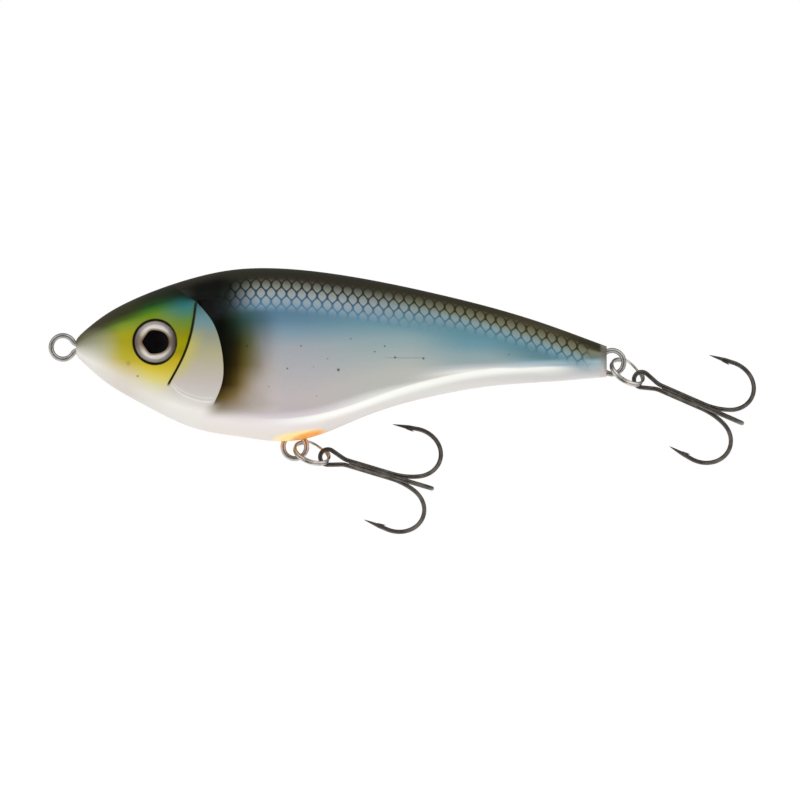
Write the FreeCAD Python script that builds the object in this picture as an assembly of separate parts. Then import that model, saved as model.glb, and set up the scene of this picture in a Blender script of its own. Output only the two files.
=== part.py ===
import FreeCAD, Part

import math
import os

Vector = FreeCAD.Vector

# The lure stands upright: the nose points along -X, the back along +Z and the left flank along -Y.
# The origin is the centre of the line-tie ring at the nose. All sizes are in millimetres.

# Body: outlines as (distance along X, value)
NOSE_X = 3.0
TAIL_X = 123.1
BACK = [(NOSE_X, 1.3), (5.2, 4.0), (10.6, 8.05), (17.9, 11.7), (28.7, 15.5), (39.6, 17.7),
        (48.7, 17.9), (65.0, 16.1), (86.7, 11.65), (108.4, 5.6), (TAIL_X, 0.25)]
BELLY = [(NOSE_X, -1.4), (5.2, -4.0), (10.6, -8.5), (19.7, -13.7), (30.5, -18.5), (41.4, -20.4),
         (51.5, -21.2), (60.0, -19.1), (68.6, -15.5), (83.1, -11.2), (97.6, -8.7), (113.9, -7.5),
         (TAIL_X, -6.7)]
CHINE = [(NOSE_X, -0.5), (9.0, -2.4), (23.0, -9.2), (34.2, -14.1), (51.0, -16.0), (62.4, -13.9),
         (75.3, -9.5), (89.9, -5.8), (111.7, -3.6), (TAIL_X, -3.3)]
HALF_WIDTH = [(NOSE_X, 1.3), (8.0, 5.6), (14.0, 8.9), (21.0, 11.3), (30.0, 13.3), (42.0, 14.0),
              (55.0, 13.5), (70.0, 11.6), (90.0, 8.0), (108.0, 4.8), (TAIL_X, 2.35)]
TAIL_ROUND_R = 2.7
WIDEST_SHARE = 0.45
CHINE_WIDTH_SHARE = 0.89
# Handles of the three curves of a cross-section, as shares of its width and heights
CROWN_HANDLE = 0.52
SHOULDER_HANDLE = 0.6
FLANK_TOP_HANDLE = 0.4
FLANK_LOW_HANDLE = 0.3
BILGE_HANDLE = 0.84
BILGE_DROP = 0.5
KEEL_HANDLE = 0.40
CHINE_INSET_SHARE = 0.3
STATIONS = 21
SECTION_STEPS = (8, 6, 8)
# A length that reaches past the body on every side, for cutting and filling shapes
BEYOND = 30.0

# Half shells
WALL = 2.0
CAVITY_FROM = 17.0
CAVITY_TO = 112.0
RIB_THICKNESS = 1.6
RIB_X = (31.0, 66.0, 81.6, 98.0)
PIN_R = 1.0
PIN_LENGTH = 2.4
PIN_ROOT = 1.0
PIN_CLEARANCE = 0.08
PIN_END_CLEARANCE = 0.3
PIN_BOSS_R = 2.2
PINS = [(24.0, 8.0), (48.0, 13.0), (74.0, 9.6), (104.0, 2.5), (24.0, -8.5), (76.0, -6.6)]

# Gill plate, raised on each cheek, and the groove in front of it, as (X, Z) points
GILL_REAR = [(30.3, 10.3), (33.4, 6.7), (35.8, 1.0), (36.5, -3.8), (36.2, -8.0), (34.3, -12.8)]
GILL_LOWER = [(34.3, -12.8), (31.5, -12.7), (28.8, -11.9), (26.1, -10.4), (24.2, -8.1)]
GILL_FRONT = [(24.2, -8.1), (27.8, -1.2), (29.6, 5.1), (30.3, 10.3)]
GILL_PLANE_Y = -4.0
GILL_FRONT_RAISE = 0.15
GILL_REAR_RAISE = 0.65
GILL_FROM = 22.5
GILL_TO = 37.5
GROOVE_WIDTH = 0.6
GROOVE_DEPTH = 0.45

# Eyes
EYE_X = 21.2
EYE_Z = 1.2
EYE_TURN = 9.0
SOCKET_R = 5.1
SOCKET_WALL = 1.5
EYE_R = 4.85
BACKING_THICKNESS = 0.4
BACKING_SEAT_Y = 9.75
DOME_RISE = 2.3
DOME_RIM = 0.5

# Bent wire rings: line tie, belly hanger and tail hanger
WIRE_R = 0.59
RING_R = 2.66
RING_FILLET_R = 1.2
LEG_OFFSET = 0.72
INNER_RING_R = 2.0
LINE_TIE_AT = (0.0, 0.0)
LINE_TIE_LENGTH = 12.5
BELLY_LOOP_AT = (52.5, -22.5)
BELLY_LOOP_LENGTH = 11.5
TAIL_LOOP_AT = (124.3, -3.35)
TAIL_LOOP_LENGTH = 11.0
BELLY_BLOCK = (47.5, 57.5, -24.0, -6.5)
BELLY_BLOCK_HALF = 3.0

# Ballast: (X, Z, radius, length across the body)
FRONT_BALLAST = (38.5, -7.5, 5.6, 19.0)
BELLY_BALLAST = (62.0, -7.0, 3.9, 14.0)
REAR_BALLAST = (88.5, 0.6, 3.0, 9.0)
CRADLE_WALL = 1.5
CRADLE_DEPTH = 5.5

# Rattle: a ball in a tube along X between two ribs
RATTLE_BALL_R = 3.2
RATTLE_BORE_R = 3.45
RATTLE_TUBE_R = 4.6
RATTLE_Z = 1.8
RATTLE_FROM = 66.0
RATTLE_TO = 81.6
RATTLE_BALL_X = 71.0

# Split rings: two turns of wire, with a step from one to the other
SPLIT_WIRE_R = 0.31
SPLIT_R = 4.04
SPLIT_PITCH = 0.64
SPLIT_STEP_ANGLE = 70.0
SPLIT_TILT = 30.0
CHAIN_REACH = 4.1
BELLY_CHAIN_ANGLE = -20.0
TAIL_CHAIN_ANGLE = -33.0

# Treble hooks
HOOK_WIRE_R = 0.5
SHANK_SPREAD = 0.647
HOOK_EYE_R = 1.75
HOOK_EYE_ANGLE = 18.0
HOOK_EYE_FILLET_R = 5.0
SHANK_END = 17.3
FLARE_R = 14.0
FLARE_ANGLE = 25.0
BEND_R = 6.2
POINT_CONVERGE = 7.0
POINT_LEG = 2.0
POINT_TAPER = 3.7
POINT_TIP_R = 0.06
BARB_LENGTH = 1.9
BARB_R = 0.32
BARB_TIP_R = 0.03
BARB_ANGLE = 20.0
BARB_ROOT = 0.5
BARB_ROOT_OUT = 0.225
UPPER_HOOK = 60
LOWER_HOOK = -60
THIRD_HOOK = 180
THIRD_SHANK_FROM = 7.2
BRAZE_R = 0.72
BRAZE_FROM = 8.2
BRAZE_TO = 16.8
EYE_GRIP = 2.55
EYE_GRIP_RISE = -0.4
BELLY_TREBLE_ANGLE = -16.7
TAIL_TREBLE_ANGLE = -23.6

os.makedirs("parts", exist_ok=True)


def smooth_curve(points):
    """Natural cubic spline through (x, value) points, run against the root of the distance from
    the nose, so that the nose closes in a round end. Returns a function of x."""
    xs = [math.sqrt(x - NOSE_X) for x, _ in points]
    ys = [value for _, value in points]
    count = len(points)
    steps = [xs[i + 1] - xs[i] for i in range(count - 1)]
    slopes = [(ys[i + 1] - ys[i]) / steps[i] for i in range(count - 1)]
    bends = [0.0] * count
    ratio = [0.0] * count
    carried = [0.0] * count
    for i in range(1, count - 1):
        pivot = 2.0 * (steps[i - 1] + steps[i]) - steps[i - 1] * ratio[i - 1]
        ratio[i] = steps[i] / pivot
        carried[i] = (6.0 * (slopes[i] - slopes[i - 1]) - steps[i - 1] * carried[i - 1]) / pivot
    for i in range(count - 2, 0, -1):
        bends[i] = carried[i] - ratio[i] * bends[i + 1]

    def value_at(x):
        s = math.sqrt(max(x - NOSE_X, 0.0))
        i = 0
        while i < count - 2 and s > xs[i + 1]:
            i += 1
        step = steps[i]
        left = (xs[i + 1] - s) / step
        right = (s - xs[i]) / step
        bend = ((left ** 3 - left) * bends[i] + (right ** 3 - right) * bends[i + 1]) * step * step / 6.0
        return left * ys[i] + right * ys[i + 1] + bend

    return value_at


back_at = smooth_curve(BACK)
belly_at = smooth_curve(BELLY)
chine_at = smooth_curve(CHINE)
half_width_at = smooth_curve(HALF_WIDTH)


def bezier(corners, t):
    """Point at t of a cubic Bezier curve with four (y, z) corners."""
    weights = ((1 - t) ** 3, 3 * t * (1 - t) ** 2, 3 * t * t * (1 - t), t ** 3)
    y = sum(weight * corner[0] for weight, corner in zip(weights, corners))
    z = sum(weight * corner[1] for weight, corner in zip(weights, corners))
    return y, z


def section(x, inset):
    """Points of half a cross-section from the back down to the belly, moved inwards by inset."""
    top = back_at(x) - inset
    bottom = belly_at(x) + inset
    chine = chine_at(x) + CHINE_INSET_SHARE * inset
    half = half_width_at(x) - inset
    chine_half = half * CHINE_WIDTH_SHARE
    widest = chine + WIDEST_SHARE * (top - chine)
    back = [(0, top), (CROWN_HANDLE * half, top),
            (half, widest + SHOULDER_HANDLE * (top - widest)), (half, widest)]
    flank = [(half, widest), (half, widest - FLANK_TOP_HANDLE * (widest - chine)),
             (chine_half + FLANK_LOW_HANDLE * (half - chine_half),
              chine + FLANK_LOW_HANDLE * (widest - chine)), (chine_half, chine)]
    belly = [(chine_half, chine), (BILGE_HANDLE * chine_half, chine - BILGE_DROP * (chine - bottom)),
             (KEEL_HANDLE * chine_half, bottom), (0, bottom)]
    points = []
    for corners, steps in zip((back, flank, belly), SECTION_STEPS):
        points += [bezier(corners, i / steps) for i in range(steps)]
    points.append((0, bottom))
    return [Vector(x, -y, z) for y, z in points]


def stations(x_from, x_to):
    """X positions of the cross-sections, closer together towards the nose."""
    low = math.sqrt(x_from - NOSE_X)
    high = math.sqrt(x_to - NOSE_X)
    return [NOSE_X + (low + (high - low) * i / (STATIONS - 1)) ** 2 for i in range(STATIONS)]


def left_half(x_from, x_to, inset_at):
    """Solid left half of the body between two X positions, its skin moved inwards by inset_at(x)."""
    rows = [section(x, inset_at(x)) for x in stations(x_from, x_to)]
    skin = Part.BSplineSurface()
    skin.interpolate(rows)
    skin_face = skin.toShape()
    front_edge = skin.uIso(skin.bounds()[0]).toShape()
    rear_edge = skin.uIso(skin.bounds()[1]).toShape()
    top_edge = skin.vIso(skin.bounds()[2]).toShape()
    bottom_edge = skin.vIso(skin.bounds()[3]).toShape()
    front_line = Part.makeLine(rows[0][0], rows[0][-1])
    rear_line = Part.makeLine(rows[-1][0], rows[-1][-1])
    front_face = Part.Face(Part.Wire(Part.__sortEdges__([front_edge, front_line])))
    rear_face = Part.Face(Part.Wire(Part.__sortEdges__([rear_edge, rear_line])))
    middle = Part.Wire(Part.__sortEdges__([top_edge, rear_line, bottom_edge, front_line]))
    shell = Part.Shell([skin_face, front_face, rear_face, Part.Face(middle)])
    shell.sewShape()
    solid = Part.Solid(shell)
    if solid.Volume < 0:
        solid.reverse()
    return solid


def tail_trim():
    """What is cut away behind the body, so that its tail end is round when seen from above."""
    start = TAIL_X - TAIL_ROUND_R
    block = Part.makeBox(BEYOND, BEYOND, 2 * BEYOND, Vector(start, -BEYOND, -BEYOND))
    return block.cut(Part.makeCylinder(TAIL_ROUND_R, 2 * BEYOND, Vector(start, 0, -BEYOND)))


def mirrored(shape):
    """The same shape on the other side of the middle plane."""
    return shape.mirror(Vector(0, 0, 0), Vector(0, 1, 0))


def flat_curve(points, y):
    """Smooth curve through (X, Z) points at one Y, as an edge."""
    curve = Part.BSplineCurve()
    curve.interpolate([Vector(x, y, z) for x, z in points])
    return curve.toShape()


def gill_plate():
    """Raised crescent behind the groove: the body skin moved outwards, inside the plate's outline."""
    def outwards(x):
        share = (x - GILL_FROM) / (GILL_TO - GILL_FROM)
        return -(GILL_FRONT_RAISE + (GILL_REAR_RAISE - GILL_FRONT_RAISE) * share)

    raised = left_half(GILL_FROM, GILL_TO, outwards)
    edges = [flat_curve(points, GILL_PLANE_Y) for points in (GILL_REAR, GILL_LOWER, GILL_FRONT)]
    outline = Part.Face(Part.Wire(edges))
    prism = outline.extrude(Vector(0, -BEYOND, 0))
    return raised.common(prism)


def gill_groove():
    """Channel along the plate's front edge, cut into the skin to one depth."""
    half = GROOVE_WIDTH / 2
    front = [(x - half, z) for x, z in GILL_FRONT]
    rear = [(x + half, z) for x, z in reversed(GILL_FRONT)]
    corners = [Vector(x, GILL_PLANE_Y, z) for x, z in (front[-1], rear[0], rear[-1], front[0])]
    edges = [flat_curve(front, GILL_PLANE_Y), Part.makeLine(corners[0], corners[1]),
             flat_curve(rear, GILL_PLANE_Y), Part.makeLine(corners[2], corners[3])]
    ribbon = Part.Face(Part.Wire(edges)).extrude(Vector(0, -BEYOND, 0))
    return ribbon.cut(left_half(NOSE_X + 2, TAIL_X - 2, lambda x: GROOVE_DEPTH))


def cross_cylinder(x, z, radius, y_from, y_to):
    """Cylinder across the body, its axis along Y."""
    return Part.makeCylinder(radius, y_to - y_from, Vector(x, y_from, z), Vector(0, 1, 0))


def eye_axis(side):
    """Outward direction of an eye, turned a little towards the nose. Side is -1 left, 1 right."""
    turn = math.radians(EYE_TURN)
    return Vector(-math.sin(turn), side * math.cos(turn), 0)


def eye_seat(side):
    """Centre of the floor of an eye socket."""
    return Vector(EYE_X, side * BACKING_SEAT_Y, EYE_Z)


def eye_backing(side):
    """Foil disc with the iris and pupil, at the bottom of the socket."""
    return Part.makeCylinder(EYE_R, BACKING_THICKNESS, eye_seat(side), eye_axis(side))


def eye_dome(side):
    """Clear cap on the foil disc: a short rim and a spherical crown."""
    axis = eye_axis(side)
    base = eye_seat(side) + axis * BACKING_THICKNESS
    sphere_r = (EYE_R ** 2 + DOME_RISE ** 2) / (2 * DOME_RISE)
    rim = Part.makeCylinder(EYE_R, DOME_RIM, base, axis)
    tall = Part.makeCylinder(EYE_R, 2 * (DOME_RIM + DOME_RISE), base, axis)
    ball = Part.makeSphere(sphere_r, base + axis * (DOME_RIM + DOME_RISE - sphere_r))
    return rim.fuse(tall.common(ball)).removeSplitter()


def hull_fillings():
    """Everything that stays solid inside the left half's hollow: ribs, bosses, seats and tubes."""
    fillings = [Part.makeBox(RIB_THICKNESS, BEYOND, 2 * BEYOND,
                             Vector(x - RIB_THICKNESS / 2, -BEYOND, -BEYOND)) for x in RIB_X]
    fillings += [cross_cylinder(x, z, PIN_BOSS_R, -BEYOND, 0) for x, z in PINS]
    x_from, x_to, z_from, z_to = BELLY_BLOCK
    fillings.append(Part.makeBox(x_to - x_from, BELLY_BLOCK_HALF, z_to - z_from,
                                 Vector(x_from, -BELLY_BLOCK_HALF, z_from)))
    for x, z, radius, length in (FRONT_BALLAST, BELLY_BALLAST, REAR_BALLAST):
        deepest = -length / 2
        fillings.append(cross_cylinder(x, z, radius + CRADLE_WALL,
                                       deepest - CRADLE_WALL, deepest + CRADLE_DEPTH))
        fillings.append(cross_cylinder(x, z, CRADLE_WALL, -BEYOND, deepest))
    tube_length = RATTLE_TO - RATTLE_FROM
    tube_start = Vector(RATTLE_FROM, 0, RATTLE_Z)
    fillings.append(Part.makeCylinder(RATTLE_TUBE_R, tube_length, tube_start, Vector(1, 0, 0)))
    fillings.append(Part.makeCylinder(SOCKET_R + SOCKET_WALL, BEYOND,
                                      eye_seat(-1) - eye_axis(-1) * SOCKET_WALL, eye_axis(-1)))
    return fillings


def ballast(weight):
    """Steel cylinder across the body."""
    x, z, radius, length = weight
    return cross_cylinder(x, z, radius, -length / 2, length / 2)


def rattle_bore():
    """Hollow of the rattle tube between its two ribs."""
    start = RATTLE_FROM + RIB_THICKNESS / 2
    length = RATTLE_TO - RATTLE_FROM - RIB_THICKNESS
    return Part.makeCylinder(RATTLE_BORE_R, length, Vector(start, 0, RATTLE_Z), Vector(1, 0, 0))


def half_shell(side, inserts):
    """One moulded half: skin with the gill plate, hollow, and seats for all that it holds."""
    outer = left_half(NOSE_X, TAIL_X, lambda x: 0.0).cut(tail_trim())
    outer = outer.fuse(gill_plate())
    outer = outer.cut(gill_groove())
    hollow = left_half(CAVITY_FROM, CAVITY_TO, lambda x: WALL)
    for filling in hull_fillings():
        hollow = hollow.cut(filling)
    shape = outer.cut(hollow)
    socket = Part.makeCylinder(SOCKET_R, BEYOND, eye_seat(-1), eye_axis(-1))
    shape = shape.cut(socket)
    if side > 0:
        shape = mirrored(shape)
    for insert in inserts:
        shape = shape.cut(insert)
    for x, z in PINS:
        if side < 0:
            shape = shape.fuse(cross_cylinder(x, z, PIN_R, -PIN_ROOT, PIN_LENGTH))
        else:
            hole_end = PIN_LENGTH + PIN_END_CLEARANCE
            shape = shape.cut(cross_cylinder(x, z, PIN_R + PIN_CLEARANCE, -PIN_ROOT, hole_end))
    return shape


def arc(start, middle, end):
    return Part.Arc(start, middle, end).toShape()


def bent_wire(edges, radius):
    """Round wire that follows a smooth run of edges."""
    spine = Part.Wire(edges)
    first = edges[0]
    start = first.valueAt(first.FirstParameter)
    direction = first.tangentAt(first.FirstParameter)
    profile = Part.Wire([Part.makeCircle(radius, start, direction)])
    return spine.makePipeShell([profile], True, False)


def ring_end(radius):
    """Points of one ring end of a bent wire about its own centre, legs leaving along +X: the
    ring's start, its far side, and the start and middle of the fillet into the leg."""
    reach = math.sqrt((radius + RING_FILLET_R) ** 2 - (LEG_OFFSET + RING_FILLET_R) ** 2)
    share = radius / (radius + RING_FILLET_R)
    touch = (reach * share, (LEG_OFFSET + RING_FILLET_R) * share)
    lean = math.atan2(LEG_OFFSET + RING_FILLET_R, reach)
    angle = (lean + math.pi + 1.5 * math.pi) / 2
    middle = (reach + RING_FILLET_R * math.cos(angle),
              LEG_OFFSET + RING_FILLET_R + RING_FILLET_R * math.sin(angle))
    return touch, middle, (reach, LEG_OFFSET)


def eye_wire(at, angle, length):
    """Wire bent into an outer ring, two legs and a smaller inner ring. It lies in the middle
    plane; at is the outer ring's centre, and the legs leave it at angle above +X."""
    turn = math.radians(angle)
    along = Vector(math.cos(turn), 0, math.sin(turn))
    across = Vector(-math.sin(turn), 0, math.cos(turn))
    origin = Vector(at[0], 0, at[1])

    def place(a, c):
        return origin + along * a + across * c

    touch, bend, leg = ring_end(RING_R)
    in_touch, in_bend, in_leg = ring_end(INNER_RING_R)
    edges = [
        arc(place(touch[0], -touch[1]), place(-RING_R, 0), place(*touch)),
        arc(place(*touch), place(*bend), place(*leg)),
        Part.makeLine(place(*leg), place(length - in_leg[0], in_leg[1])),
        arc(place(length - in_leg[0], in_leg[1]), place(length - in_bend[0], in_bend[1]),
            place(length - in_touch[0], in_touch[1])),
        arc(place(length - in_touch[0], in_touch[1]), place(length + INNER_RING_R, 0),
            place(length - in_touch[0], -in_touch[1])),
        arc(place(length - in_touch[0], -in_touch[1]), place(length - in_bend[0], -in_bend[1]),
            place(length - in_leg[0], -in_leg[1])),
        Part.makeLine(place(length - in_leg[0], -in_leg[1]), place(leg[0], -leg[1])),
        arc(place(leg[0], -leg[1]), place(bend[0], -bend[1]), place(touch[0], -touch[1])),
    ]
    return bent_wire(edges, WIRE_R)


def chain_frame(angle):
    """Directions of a split ring: along the chain, across it up, its wire's and its normal."""
    turn = math.radians(angle)
    tilt = math.radians(SPLIT_TILT)
    along = Vector(math.cos(turn), 0, math.sin(turn))
    up = Vector(-math.sin(turn), 0, math.cos(turn))
    wire = Vector(0, math.cos(tilt), 0) + up * math.sin(tilt)
    normal = up * math.cos(tilt) - Vector(0, math.sin(tilt), 0)
    return along, up, wire, normal


def coil():
    """Two flat turns of wire about Z and the step between them, which is centred on +X."""
    half_step = math.radians(SPLIT_STEP_ANGLE / 2)
    height = SPLIT_PITCH / 2
    turn = 360 - SPLIT_STEP_ANGLE
    rings = [Part.makeTorus(SPLIT_R, SPLIT_WIRE_R, Vector(0, 0, z), Vector(0, 0, 1), -180, 180, turn)
             for z in (-height, height)]
    for ring in rings:
        ring.rotate(Vector(0, 0, 0), Vector(0, 0, 1), SPLIT_STEP_ANGLE / 2)

    step_from = Vector(math.cos(half_step), -math.sin(half_step), 0) * SPLIT_R
    step_to = Vector(math.cos(half_step), math.sin(half_step), 0) * SPLIT_R
    rise = Vector(0, 0, height)
    handle = 4 / 3 * math.tan(half_step / 2) * SPLIT_R
    ahead = Vector(math.sin(half_step), math.cos(half_step), 0) * handle
    behind = Vector(math.sin(half_step), -math.cos(half_step), 0) * handle
    step = Part.BezierCurve()
    step.setPoles([step_from - rise, step_from - rise + ahead, step_to + rise + behind,
                   step_to + rise])
    return rings[0].fuse([bent_wire([step.toShape()], SPLIT_WIRE_R), rings[1]])


def split_ring(at, angle):
    """Two close turns of wire, their centre along the chain from the hanger ring's centre."""
    along, _, wire, normal = chain_frame(angle)
    centre = Vector(at[0], 0, at[1]) + along * CHAIN_REACH
    frame = FreeCAD.Matrix(wire.x, -along.x, normal.x, centre.x,
                           wire.y, -along.y, normal.y, centre.y,
                           wire.z, -along.z, normal.z, centre.z,
                           0, 0, 0, 1)
    return placed(coil(), frame)


def placed(shape, frame):
    """The shape moved rigidly by a matrix."""
    moved = shape.copy()
    moved.Placement = FreeCAD.Placement(frame)
    return moved


def hook_plane(direction):
    """Function that places a point (along the shank, out from its axis) in one hook's plane.
    Direction is the hook's angle about the shank, from +Y towards +Z."""
    turn = math.radians(direction)
    return lambda a, r: Vector(a, r * math.cos(turn), r * math.sin(turn))


def hook_curve(place, shank_from):
    """Edges of one hook from its shank to the start of its tapered point, and the point's ends."""
    flare = math.radians(FLARE_ANGLE)
    last = math.radians(180.0 + POINT_CONVERGE)
    spread = SHANK_SPREAD

    def on_flare(turn):
        return SHANK_END + FLARE_R * math.sin(turn), spread + FLARE_R * (1 - math.cos(turn))

    flare_end = on_flare(flare)
    centre = (flare_end[0] - BEND_R * math.sin(flare), flare_end[1] + BEND_R * math.cos(flare))

    def on_bend(turn):
        return centre[0] + BEND_R * math.sin(turn), centre[1] - BEND_R * math.cos(turn)

    bend_end = on_bend(last)

    def on_leg(length):
        return bend_end[0] + length * math.cos(last), bend_end[1] + length * math.sin(last)

    edges = [
        Part.makeLine(place(shank_from, spread), place(SHANK_END, spread)),
        arc(place(SHANK_END, spread), place(*on_flare(flare / 2)), place(*flare_end)),
        arc(place(*flare_end), place(*on_bend((flare + last) / 2)), place(*bend_end)),
        Part.makeLine(place(*bend_end), place(*on_leg(POINT_LEG))),
    ]
    return edges, place(*on_leg(POINT_LEG)), place(*on_leg(POINT_LEG + POINT_TAPER))


def hook_point(base, tip, axis_point):
    """Tapered point and its barb, which leans towards the shank side, behind the taper."""
    direction = (tip - base).normalize()
    taper = Part.makeCone(HOOK_WIRE_R, POINT_TIP_R, (tip - base).Length, base, direction)
    inwards = axis_point - base
    inwards = (inwards - direction * inwards.dot(direction)).normalize()
    lean = math.radians(BARB_ANGLE)
    barb_way = direction * -math.cos(lean) + inwards * math.sin(lean)
    root = base + direction * BARB_ROOT + inwards * BARB_ROOT_OUT
    barb = Part.makeCone(BARB_R, BARB_TIP_R, BARB_LENGTH, root, barb_way)
    return taper.fuse(barb)


def hook_eye():
    """Edges of the double hook's eye, from the upper shank wire round to the lower one."""
    y = SHANK_SPREAD * math.cos(math.radians(UPPER_HOOK))
    shank_z = SHANK_SPREAD * math.sin(math.radians(UPPER_HOOK))
    lean = math.radians(HOOK_EYE_ANGLE)
    centre_a = HOOK_WIRE_R + HOOK_EYE_R
    touch_a = centre_a + HOOK_EYE_R * math.sin(lean)
    touch_z = HOOK_EYE_R * math.cos(lean)
    corner_a = touch_a + (touch_z - shank_z) / math.tan(lean)
    tangent = HOOK_EYE_FILLET_R * math.tan(lean / 2)
    fillet_a = corner_a + tangent
    start_a = corner_a - tangent * math.cos(lean)
    start_z = shank_z + tangent * math.sin(lean)
    half = lean / 2
    middle_a = fillet_a - HOOK_EYE_FILLET_R * math.sin(half)
    middle_z = shank_z + HOOK_EYE_FILLET_R * (1 - math.cos(half))

    def at(a, z):
        return Vector(a, y, z)

    edges = [
        arc(at(fillet_a, shank_z), at(middle_a, middle_z), at(start_a, start_z)),
        Part.makeLine(at(start_a, start_z), at(touch_a, touch_z)),
        arc(at(touch_a, touch_z), at(HOOK_WIRE_R, 0), at(touch_a, -touch_z)),
        Part.makeLine(at(touch_a, -touch_z), at(start_a, -start_z)),
        arc(at(start_a, -start_z), at(middle_a, -middle_z), at(fillet_a, -shank_z)),
    ]
    return edges, fillet_a


def double_hook():
    """One wire with an eye in its middle and a hook at each end, along +X from the eye's end."""
    eye_edges, shank_from = hook_eye()
    upper, upper_base, upper_tip = hook_curve(hook_plane(UPPER_HOOK), shank_from)
    lower, lower_base, lower_tip = hook_curve(hook_plane(LOWER_HOOK), shank_from)
    back = [reversed_edge(edge) for edge in reversed(upper)]
    wire = bent_wire(back + eye_edges + lower, HOOK_WIRE_R)
    for base, tip in ((upper_base, upper_tip), (lower_base, lower_tip)):
        wire = wire.fuse(hook_point(base, tip, Vector(base.x, 0, 0)))
    return wire


def reversed_edge(edge):
    """The same line or arc, run the other way."""
    first = edge.valueAt(edge.FirstParameter)
    middle = edge.valueAt((edge.FirstParameter + edge.LastParameter) / 2)
    last = edge.valueAt(edge.LastParameter)
    if isinstance(edge.Curve, Part.Line):
        return Part.makeLine(last, first)
    return arc(last, middle, first)


def third_hook():
    """Single hook on the -Y side, brazed to the double hook's shank."""
    edges, base, tip = hook_curve(hook_plane(THIRD_HOOK), THIRD_SHANK_FROM)
    return bent_wire(edges, HOOK_WIRE_R).fuse(hook_point(base, tip, Vector(base.x, 0, 0)))


def braze():
    """Brazing metal between the three shanks."""
    length = BRAZE_TO - BRAZE_FROM
    core = Part.makeCylinder(BRAZE_R, length, Vector(BRAZE_FROM, 0, 0), Vector(1, 0, 0))
    for direction in (UPPER_HOOK, LOWER_HOOK, THIRD_HOOK):
        start = hook_plane(direction)(BRAZE_FROM / 2, SHANK_SPREAD)
        core = core.cut(Part.makeCylinder(HOOK_WIRE_R, length + BRAZE_FROM, start, Vector(1, 0, 0)))
    return core


def treble_frame(at, chain_angle, treble_angle):
    """Matrix that hangs a treble in the far side of the split ring on the hanger ring at (X, Z)."""
    chain = chain_frame(chain_angle)[0]
    far_wire = Vector(at[0], 0, at[1]) + chain * (CHAIN_REACH + SPLIT_R)
    along, up, _, _ = chain_frame(treble_angle)
    start = far_wire - along * EYE_GRIP - up * EYE_GRIP_RISE
    return FreeCAD.Matrix(along.x, 0, up.x, start.x,
                          0, 1, 0, 0,
                          along.z, 0, up.z, start.z,
                          0, 0, 0, 1)


def write(name, shape):
    """Write one sub-part, after a test that it is a single sound solid."""
    solids = shape.Solids
    if len(solids) != 1 or not shape.isValid():
        print("CHECK", name, "solids", len(solids), "valid", shape.isValid())
    solids[0].exportStep("parts/" + name + ".step")
    print(name, round(solids[0].Volume, 2), "mm3")


line_tie = eye_wire(LINE_TIE_AT, 0, LINE_TIE_LENGTH)
belly_hanger = eye_wire(BELLY_LOOP_AT, 90, BELLY_LOOP_LENGTH)
tail_hanger = eye_wire(TAIL_LOOP_AT, 180, TAIL_LOOP_LENGTH)
weights = {"front_ballast": ballast(FRONT_BALLAST), "belly_ballast": ballast(BELLY_BALLAST),
           "rear_ballast": ballast(REAR_BALLAST)}
inserts = [line_tie, belly_hanger, tail_hanger, rattle_bore()] + list(weights.values())

write("left_shell", half_shell(-1, inserts))
write("right_shell", half_shell(1, inserts))
write("nose_line_tie", line_tie)
write("belly_hanger", belly_hanger)
write("tail_hanger", tail_hanger)
for side, side_name in ((-1, "left"), (1, "right")):
    write(side_name + "_eye_foil", eye_backing(side))
    write(side_name + "_eye_dome", eye_dome(side))
for weight_name, weight_shape in weights.items():
    write(weight_name, weight_shape)
write("rattle_ball", Part.makeSphere(RATTLE_BALL_R, Vector(RATTLE_BALL_X, 0, RATTLE_Z)))
chains = (("belly", BELLY_LOOP_AT, BELLY_CHAIN_ANGLE, BELLY_TREBLE_ANGLE),
          ("tail", TAIL_LOOP_AT, TAIL_CHAIN_ANGLE, TAIL_TREBLE_ANGLE))
for place_name, loop_at, chain_angle, treble_angle in chains:
    write(place_name + "_split_ring", split_ring(loop_at, chain_angle))
    treble_place = treble_frame(loop_at, chain_angle, treble_angle)
    write(place_name + "_treble_double_hook", placed(double_hook(), treble_place))
    write(place_name + "_treble_third_hook", placed(third_hook(), treble_place))
    write(place_name + "_treble_braze", placed(braze(), treble_place))
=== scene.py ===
import math

import bmesh
import bpy
import numpy as np
from mathutils import Matrix, Vector


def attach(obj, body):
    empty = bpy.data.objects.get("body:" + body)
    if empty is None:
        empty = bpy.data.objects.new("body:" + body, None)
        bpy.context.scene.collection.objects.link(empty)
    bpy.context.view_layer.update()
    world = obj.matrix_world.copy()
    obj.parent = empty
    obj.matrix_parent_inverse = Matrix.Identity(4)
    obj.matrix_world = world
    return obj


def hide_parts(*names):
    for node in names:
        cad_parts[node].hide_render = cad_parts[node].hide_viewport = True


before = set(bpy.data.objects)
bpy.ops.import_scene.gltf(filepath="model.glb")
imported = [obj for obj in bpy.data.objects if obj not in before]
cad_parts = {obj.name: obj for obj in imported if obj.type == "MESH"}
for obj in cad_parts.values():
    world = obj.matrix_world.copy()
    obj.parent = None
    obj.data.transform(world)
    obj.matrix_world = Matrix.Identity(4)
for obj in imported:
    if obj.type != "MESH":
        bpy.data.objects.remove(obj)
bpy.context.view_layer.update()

# The lure's nose points along -X, its back along +Z and its left flank along -Y; the origin is the
# centre of the line-tie ring. Sizes below are in millimetres and become metres as meshes are made;
# angles are in degrees.
MM = 0.001

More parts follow.
